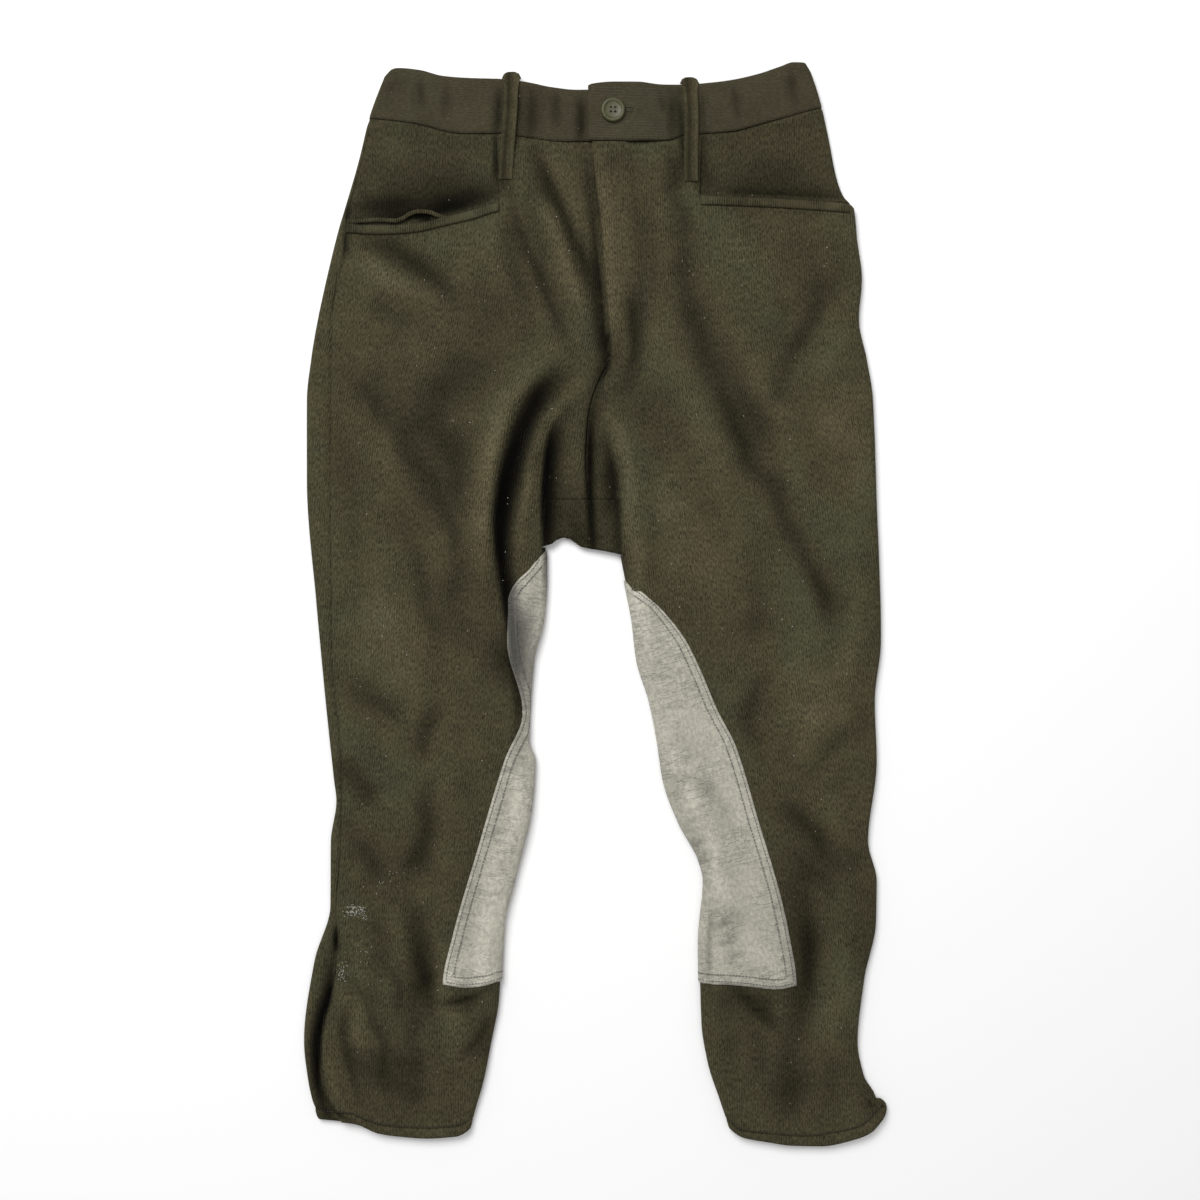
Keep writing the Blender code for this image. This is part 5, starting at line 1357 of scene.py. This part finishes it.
def make_button():
    """Sewn button with a raised rim, a dished middle and four holes, turned from its profile."""
    x, depth = BUTTON_AT
    base = BAND_FACE + BAND + 2 * GAP + value_at(BAND_SHEET, x, depth)
    radius = BUTTON_RADIUS
    # Columns: distance from the axis, height
    profile = [(0, 0), (radius - 1.6, 0), (radius - 0.5, 0.5), (radius, 1.4), (radius - 0.1, 2.3),
               (radius - 0.7, 3.1), (radius - 1.5, 3.4), (radius - 2.3, 3.2), (radius - 3.0, 2.6),
               (radius - 3.8, 2.35), (radius - 6.5, 2.25), (0, 2.2)]
    bm = bmesh.new()
    verts = [bm.verts.new((r, 0, z)) for r, z in profile]
    edges_made = [bm.edges.new(pair) for pair in zip(verts, verts[1:])]
    bmesh.ops.spin(bm, geom=verts + edges_made, cent=(0, 0, 0), axis=(0, 0, 1), angle=2 * math.pi,
                   steps=72, use_merge=True)
    bmesh.ops.remove_doubles(bm, verts=bm.verts, dist=0.001)
    bmesh.ops.recalc_face_normals(bm, faces=bm.faces)
    bmesh.ops.translate(bm, verts=bm.verts, vec=(x, LENGTH / 2 - depth, base))
    made = own("waist_button_resin", bm, resin, "button", "waist_button")
    drill = bmesh.new()
    for across in (-HOLE_APART, HOLE_APART):
        for along in (-HOLE_APART, HOLE_APART):
            place = Matrix.Translation((x + across, LENGTH / 2 - depth + along, base + 2.6))
            bmesh.ops.create_cone(drill, cap_ends=True, segments=20, radius1=HOLE, radius2=HOLE, depth=4,
                                  matrix=place)
    bmesh.ops.scale(drill, verts=drill.verts, vec=(MM, MM, MM))
    cutter = placed("drill", mesh_of("drill", drill))
    holes = made.modifiers.new("holes", "BOOLEAN")
    holes.object = cutter
    holes.solver = "EXACT"
    seen = made.evaluated_get(bpy.context.evaluated_depsgraph_get())
    bored = bpy.data.meshes.new_from_object(seen)
    made.modifiers.remove(holes)
    made.data = bored
    bored.set_sharp_from_angle(angle=math.radians(50))
    bpy.data.objects.remove(cutter)
    return base


UNDER_SHEET = 1.1 * softened(uneven(46, 11), 4) + 0.5 * uneven(21, 12)
BAND_SHEET = 0.35 * uneven(40, 21) + 0.2 * uneven(16, 22)

for name, leg in (("right", RIGHT_LEG), ("left", LEFT_LEG)):
    front_grid = make_front(leg, name)
    make_yoke(leg, name)
    make_welt(leg, name)
    make_gusset(leg, name)
    make_patch(leg, name, front_grid)
    make_hems(leg, name, make_back(leg, name))
    make_waistband(leg, name)
    make_loop(name)
make_waistband_back()
button_base = make_button()


# Sewing

def spot(leg, out, depth, lift=0.0):
    """Places on a leg's outer face, moved out a little, and the outward direction there."""
    out = np.asarray(out, dtype=float) + 0 * depth
    surface = front_surface(leg)
    below = depth > leg["crotch"]

    def place(out, depth):
        x, height = surface(out, depth, below)
        return np.stack([x, LENGTH / 2 - depth, height], axis=-1)

    across = place(out + 0.4, depth) - place(out - 0.4, depth)
    along = place(out, depth + 0.4) - place(out, depth - 0.4)
    outward = leg["side"] * np.cross(along, across)
    outward /= np.linalg.norm(outward, axis=-1, keepdims=True)
    return place(out, depth) + outward * lift, outward


def on_band(side, x, depth, lift=0.0):
    """Places on the waistband's face."""
    here, height = band_surface(side)(side * x, depth, False)
    return np.stack([here, LENGTH / 2 - depth, height + lift], axis=-1), np.array([[0, 0, 1.0]] * len(here))


def walk(points, outward, step):
    """Even steps along a line of points: where, which way on, and which way out."""
    run = np.concatenate([[0], np.cumsum(np.linalg.norm(np.diff(points, axis=0), axis=1))])
    at = np.arange(step / 2, run[-1] - step / 4, step)
    read = lambda where, values: np.stack([np.interp(where, run, values[:, k]) for k in range(3)], axis=-1)
    return zip(read(at, points), read(at + 0.3, points) - read(at - 0.3, points), read(at, outward))


def one_grain():
    """Points and faces of one slim rounded grain, a ball to be stretched."""
    bm = bmesh.new()
    bmesh.ops.create_uvsphere(bm, u_segments=6, v_segments=4, radius=1)
    mesh = mesh_of("grain", bm)
    points = np.array([vert.co[:] for vert in mesh.vertices])
    faces = [list(face.vertices) for face in mesh.polygons]
    bpy.data.meshes.remove(mesh)
    return points, faces


GRAIN_POINTS, GRAIN_FACES = one_grain()


class Thread:
    """Many stitches or fibres that make one piece."""

    def __init__(self):
        self.grains = []

    def add(self, here, on, out, length, width, flat=0.7, roll=0.0):
        on = Vector(on).normalized()
        aside = Vector(out).cross(on).normalized()
        on = (on * math.cos(roll) + aside * math.sin(roll)).normalized()
        aside = Vector(out).cross(on).normalized()
        up = on.cross(aside)
        turn = np.array([aside * width / 2, up * width / 2 * flat, on * length / 2])
        self.grains.append(GRAIN_POINTS @ turn + np.array(here))

    def run(self, line_of, step, length, width, flat=0.7, wander=0.0, seed=1):
        """Stitches at even steps along a line."""
        chance = np.random.default_rng(seed)
        for here, on, out in walk(*line_of, step):
            self.add(here, on, out, length * chance.uniform(0.85, 1.1), width, flat,
                     chance.uniform(-wander, wander))

    def finish(self, name, look, slot):
        count = len(GRAIN_POINTS)
        points = np.concatenate(self.grains) * MM
        faces = [[corner + number * count for corner in face]
                 for number in range(len(self.grains)) for face in GRAIN_FACES]
        mesh = bpy.data.meshes.new(name)
        mesh.from_pydata(points, [], faces)
        riding(name, mesh, look, slot)


def sew_patch(leg, name):
    """Two rows of stitches just inside the patch's border."""
    thread = Thread()
    side = leg["side"]
    lift = PATCH_OUT + 0.1
    for number, inset in enumerate(PATCH_STITCHES):
        corner_x = side * (leg["patch"](np.array(745.0)) - inset)
        corner = np.array(float(leg["patch_foot"](corner_x)) - inset)
        depth = np.linspace(leg["patch_top"] + 4 + inset, float(corner), 160)
        thread.run(spot(leg, leg["patch"](depth) - inset, depth, lift), 2.6, 2.2, 0.8, 0.6, 0.05, 40 + number)
        out = np.linspace(float(leg["patch"](corner)) - inset, beneath_inner(leg, corner, 12), 60)
        foot = leg["patch_foot"](side * np.maximum(out, leg["inner"](corner))) - inset
        thread.run(spot(leg, out, foot, lift), 2.6, 2.2, 0.8, 0.6, 0.05, 50 + number)
    thread.finish("patch_stitches_" + name, grey_thread, "suede")


def sew_hem(leg, name):
    """A row of stitches along the foot of the leg."""
    thread = Thread()
    near_foot = np.array(850.0)
    out = np.linspace(float(leg["outer"](near_foot)) - 5, float(leg["inner"](near_foot)) + 3, 90)
    depth = leg["hem_seam"](leg["side"] * out) - 1.6
    thread.run(spot(leg, out, depth, 0.1), 2.4, 1.9, 0.6, 0.6, 0.05, 60)
    thread.finish("hem_stitches_" + name, dark_thread, "wool")


def sew_fly():
    """The fly's stitch line, down and round to its foot, with the tacks at its end."""
    thread = Thread()
    rows = [(41, 68), (41.5, 110), (41, 150), (41, 200), (38, 226), (31, 244), (20, 254), (10, 260)]
    _, x, depth = path(rows, 160)
    thread.run(spot(LEFT_LEG, x, depth, 0.1), 2.4, 1.8, 0.6, 0.6, 0.06, 70)
    depth = np.linspace(258, 270, 20)
    thread.run(spot(LEFT_LEG, 6 + 0 * depth, depth, 0.3), 1.0, 0.9, 1.6, 0.5, 0.2, 71)
    thread.finish("fly_stitches", dark_thread, "wool")


def sew_tab():
    """Rows of fine stitches across the waistband's tab, and the buttonhole beside the button."""
    thread = Thread()
    for number, row in enumerate((21.5, 23.8, 26.1, 28.4, 48.5, 50.6, 52.8, 55.0, 57.2, 59.4, 61.4)):
        x = np.linspace(-3.5, 57, 60)
        depth = row + 0.6 * np.sin(x / 16) + 0.02 * x
        thread.run(on_band(1, x, depth, 0.12), 2.1, 1.7, 0.45, 0.6, 0.08, 80 + number)
    thread.finish("tab_stitches", band_thread, "band_wool")
    thread = Thread()
    for number, (dx, dd) in enumerate(((0, -1.7), (0, 1.7))):
        x = np.linspace(20, 29, 24)
        thread.run(on_band(1, x + dx, 39.6 + dd + 0 * x, 0.3), 0.75, 2.3, 0.8, 0.8, 0.15, 95 + number)
    depth = np.linspace(37.4, 41.8, 12)
    thread.run(on_band(1, 29.6 + 0 * depth, depth, 0.35), 0.7, 2.0, 0.8, 0.8, 0.2, 98)
    thread.finish("buttonhole", dark_thread, "band_wool")


def sew_button():
    """Thread through the button's four holes."""
    x, depth = BUTTON_AT
    thread = Thread()
    for across in (-HOLE_APART, HOLE_APART):
        for k in range(3):
            here = (x + across + (k - 1) * 0.35, LENGTH / 2 - depth, button_base + 1.2)
            thread.add(here, (0, 1, 0), (0, 0, 1), 3.6, 0.55)
    thread.finish("button_thread", dark_thread, "button")


def lint_at(name, leg, look, seed, rows):
    """Loose fibres and specks on the wool."""
    chance = np.random.default_rng(seed)
    thread = Thread()
    for x, depth, wide, tall, number, length in rows:
        gathered = chance.normal(0, 0.55, (2, number)) if number > 20 and wide < 30 else \
            chance.uniform(-1, 1, (2, number))
        outs = leg["side"] * x + wide * gathered[0]
        depths = depth + tall * gathered[1]
        where, outward = spot(leg, outs, depths, 0.35)
        for here, out in zip(where, outward):
            turn = chance.uniform(0, math.pi)
            thread.add(here, (math.cos(turn), math.sin(turn), 0.05), out,
                       length * chance.uniform(0.4, 1.3), 0.32 * chance.uniform(0.7, 1.6), 0.8)
    thread.finish(name, look, "wool")


def pocket_loop():
    """The rumpled edge of the pocket lining that stands out of the right pocket."""
    rows = [(-199, 130), (-189, 128.6), (-176, 127.8), (-163, 128.4), (-157, 126.8), (-150.5, 122.8),
            (-143.5, 120.8), (-135.5, 121.3), (-128, 124), (-120, 127)]
    fine, x, depth = path(rows, 49)
    crown = np.linspace(-1, 1, 9)
    wide = 2.0
    slope = np.gradient(depth) / np.hypot(np.gradient(x), np.gradient(depth))
    run = np.gradient(x) / np.hypot(np.gradient(x), np.gradient(depth))
    lift = relief(x, depth) - POCKET_DROP + 1.8 + 0.8 * np.sin(np.linspace(0, math.pi, 49))
    grid = {"u": np.repeat(crown[:, None], 49, axis=1), "v": np.repeat(fine[None], 9, axis=0),
            "x": x[None] + slope[None] * crown[:, None] * wide,
            "depth": depth[None] - run[None] * crown[:, None] * wide,
            "height": lift[None] + 1.1 * np.sqrt(np.maximum(1 - crown[:, None] ** 2, 0)),
            "out": x[None] + 0 * crown[:, None]}
    # The lining's shade mark is a painted shade over the whole piece
    cloth("pocket_lining", grid, welt_wool, "wool", wall=0.9, rolled=0.2, node=False,
          grain=(grid["x"], grid["u"] * wide + 0 * grid["x"]), marks={"shade": 0.8 + 0 * grid["x"]})


for name, leg in (("right", RIGHT_LEG), ("left", LEFT_LEG)):
    sew_patch(leg, name)
    sew_hem(leg, name)
sew_fly()
sew_tab()
sew_button()
pocket_loop()
# Columns: x, depth, spread across, spread down, how many, length
lint_at("vent_wear", RIGHT_LEG, worn_thread, 101, [
    (-195, 689, 7, 3.4, 60, 2.0),
    (-195, 685, 8, 0.8, 26, 1.6),
    (-187, 690, 1.5, 5, 14, 1.4),
    (-205, 738, 4, 9, 34, 1.8),
    (-188, 722, 8, 12, 10, 1.4),
])
lint_at("lint_right", RIGHT_LEG, white_thread, 102, [
    (-165, 664, 12, 9, 16, 1.0),
    (-110, 300, 90, 200, 34, 1.3),
    (-140, 620, 60, 200, 46, 1.1),
    (-60, 150, 24, 80, 8, 1.4),
])
lint_at("lint_left", LEFT_LEG, white_thread, 103, [
    (130, 300, 80, 200, 40, 1.3),
    (160, 620, 50, 200, 30, 1.2),
])


# The cut found for each piece of cloth, which nothing keeps. It is read back from the piece's own mesh, in
# metres, and isn't worked out from the garment's sizes. How much longer than the mesh the cut is, and the
# share of its rectangle that it fills, have no source.
CUT_LONGER = 1.03
CUT_FILL = 0.8
CUT_LEAST = 0.0102


def declare_cut(made):
    """Work out a flat size for a piece of cloth, from the mesh that it has. Nothing keeps it."""
    mesh = made.data
    area = sum(face.area for face in mesh.polygons)
    used = np.array([vert.co[:] for vert in mesh.vertices])
    length = max(used.max(axis=0) - used.min(axis=0)) * CUT_LONGER
    width = max(area / length / CUT_FILL, CUT_LEAST)


for made in sheets:
    declare_cut(made)


# Floor, light and camera

def make_floor():
    bm = bmesh.new()
    bmesh.ops.create_grid(bm, x_segments=1, y_segments=1, size=4.0)
    floor = placed("floor", mesh_of("floor", bm))
    white = Finish("white_paper", Base_Color=(0.97, 0.97, 0.97, 1), Roughness=0.9, Specular_IOR_Level=0.1)
    floor.data.materials.append(white.material)
    floor.location.z = -0.0005


def make_light(name, place, turn, size, power):
    lamp = bpy.data.lights.new(name, "AREA")
    lamp.shape = "RECTANGLE"
    lamp.size, lamp.size_y = size
    lamp.energy = power
    holder = placed(name, lamp)
    holder.location = place
    holder.rotation_euler = [math.radians(angle) for angle in turn]


make_floor()
make_light("key", (-0.9, 1.5, 2.2), (-33, -20, 0), (1.5, 1.5), 62)
make_light("soft_overhead", (0.2, -0.2, 2.6), (0, 0, 0), (3.0, 3.0), 22)

world = bpy.data.worlds.new("studio")
bpy.context.scene.world = world
world.use_nodes = True
world.node_tree.nodes["Background"].inputs["Color"].default_value = (1, 1, 1, 1)
world.node_tree.nodes["Background"].inputs["Strength"].default_value = 0.32

lens = bpy.data.cameras.new("straight_down")
lens.lens = 50
lens.sensor_width = 36
lens.clip_start = 0.05
eye = placed("straight_down", lens)
eye.location = (0.0037, 0.0035, 1.358)
bpy.context.scene.camera = eye
bpy.context.scene.view_settings.view_transform = "Standard"
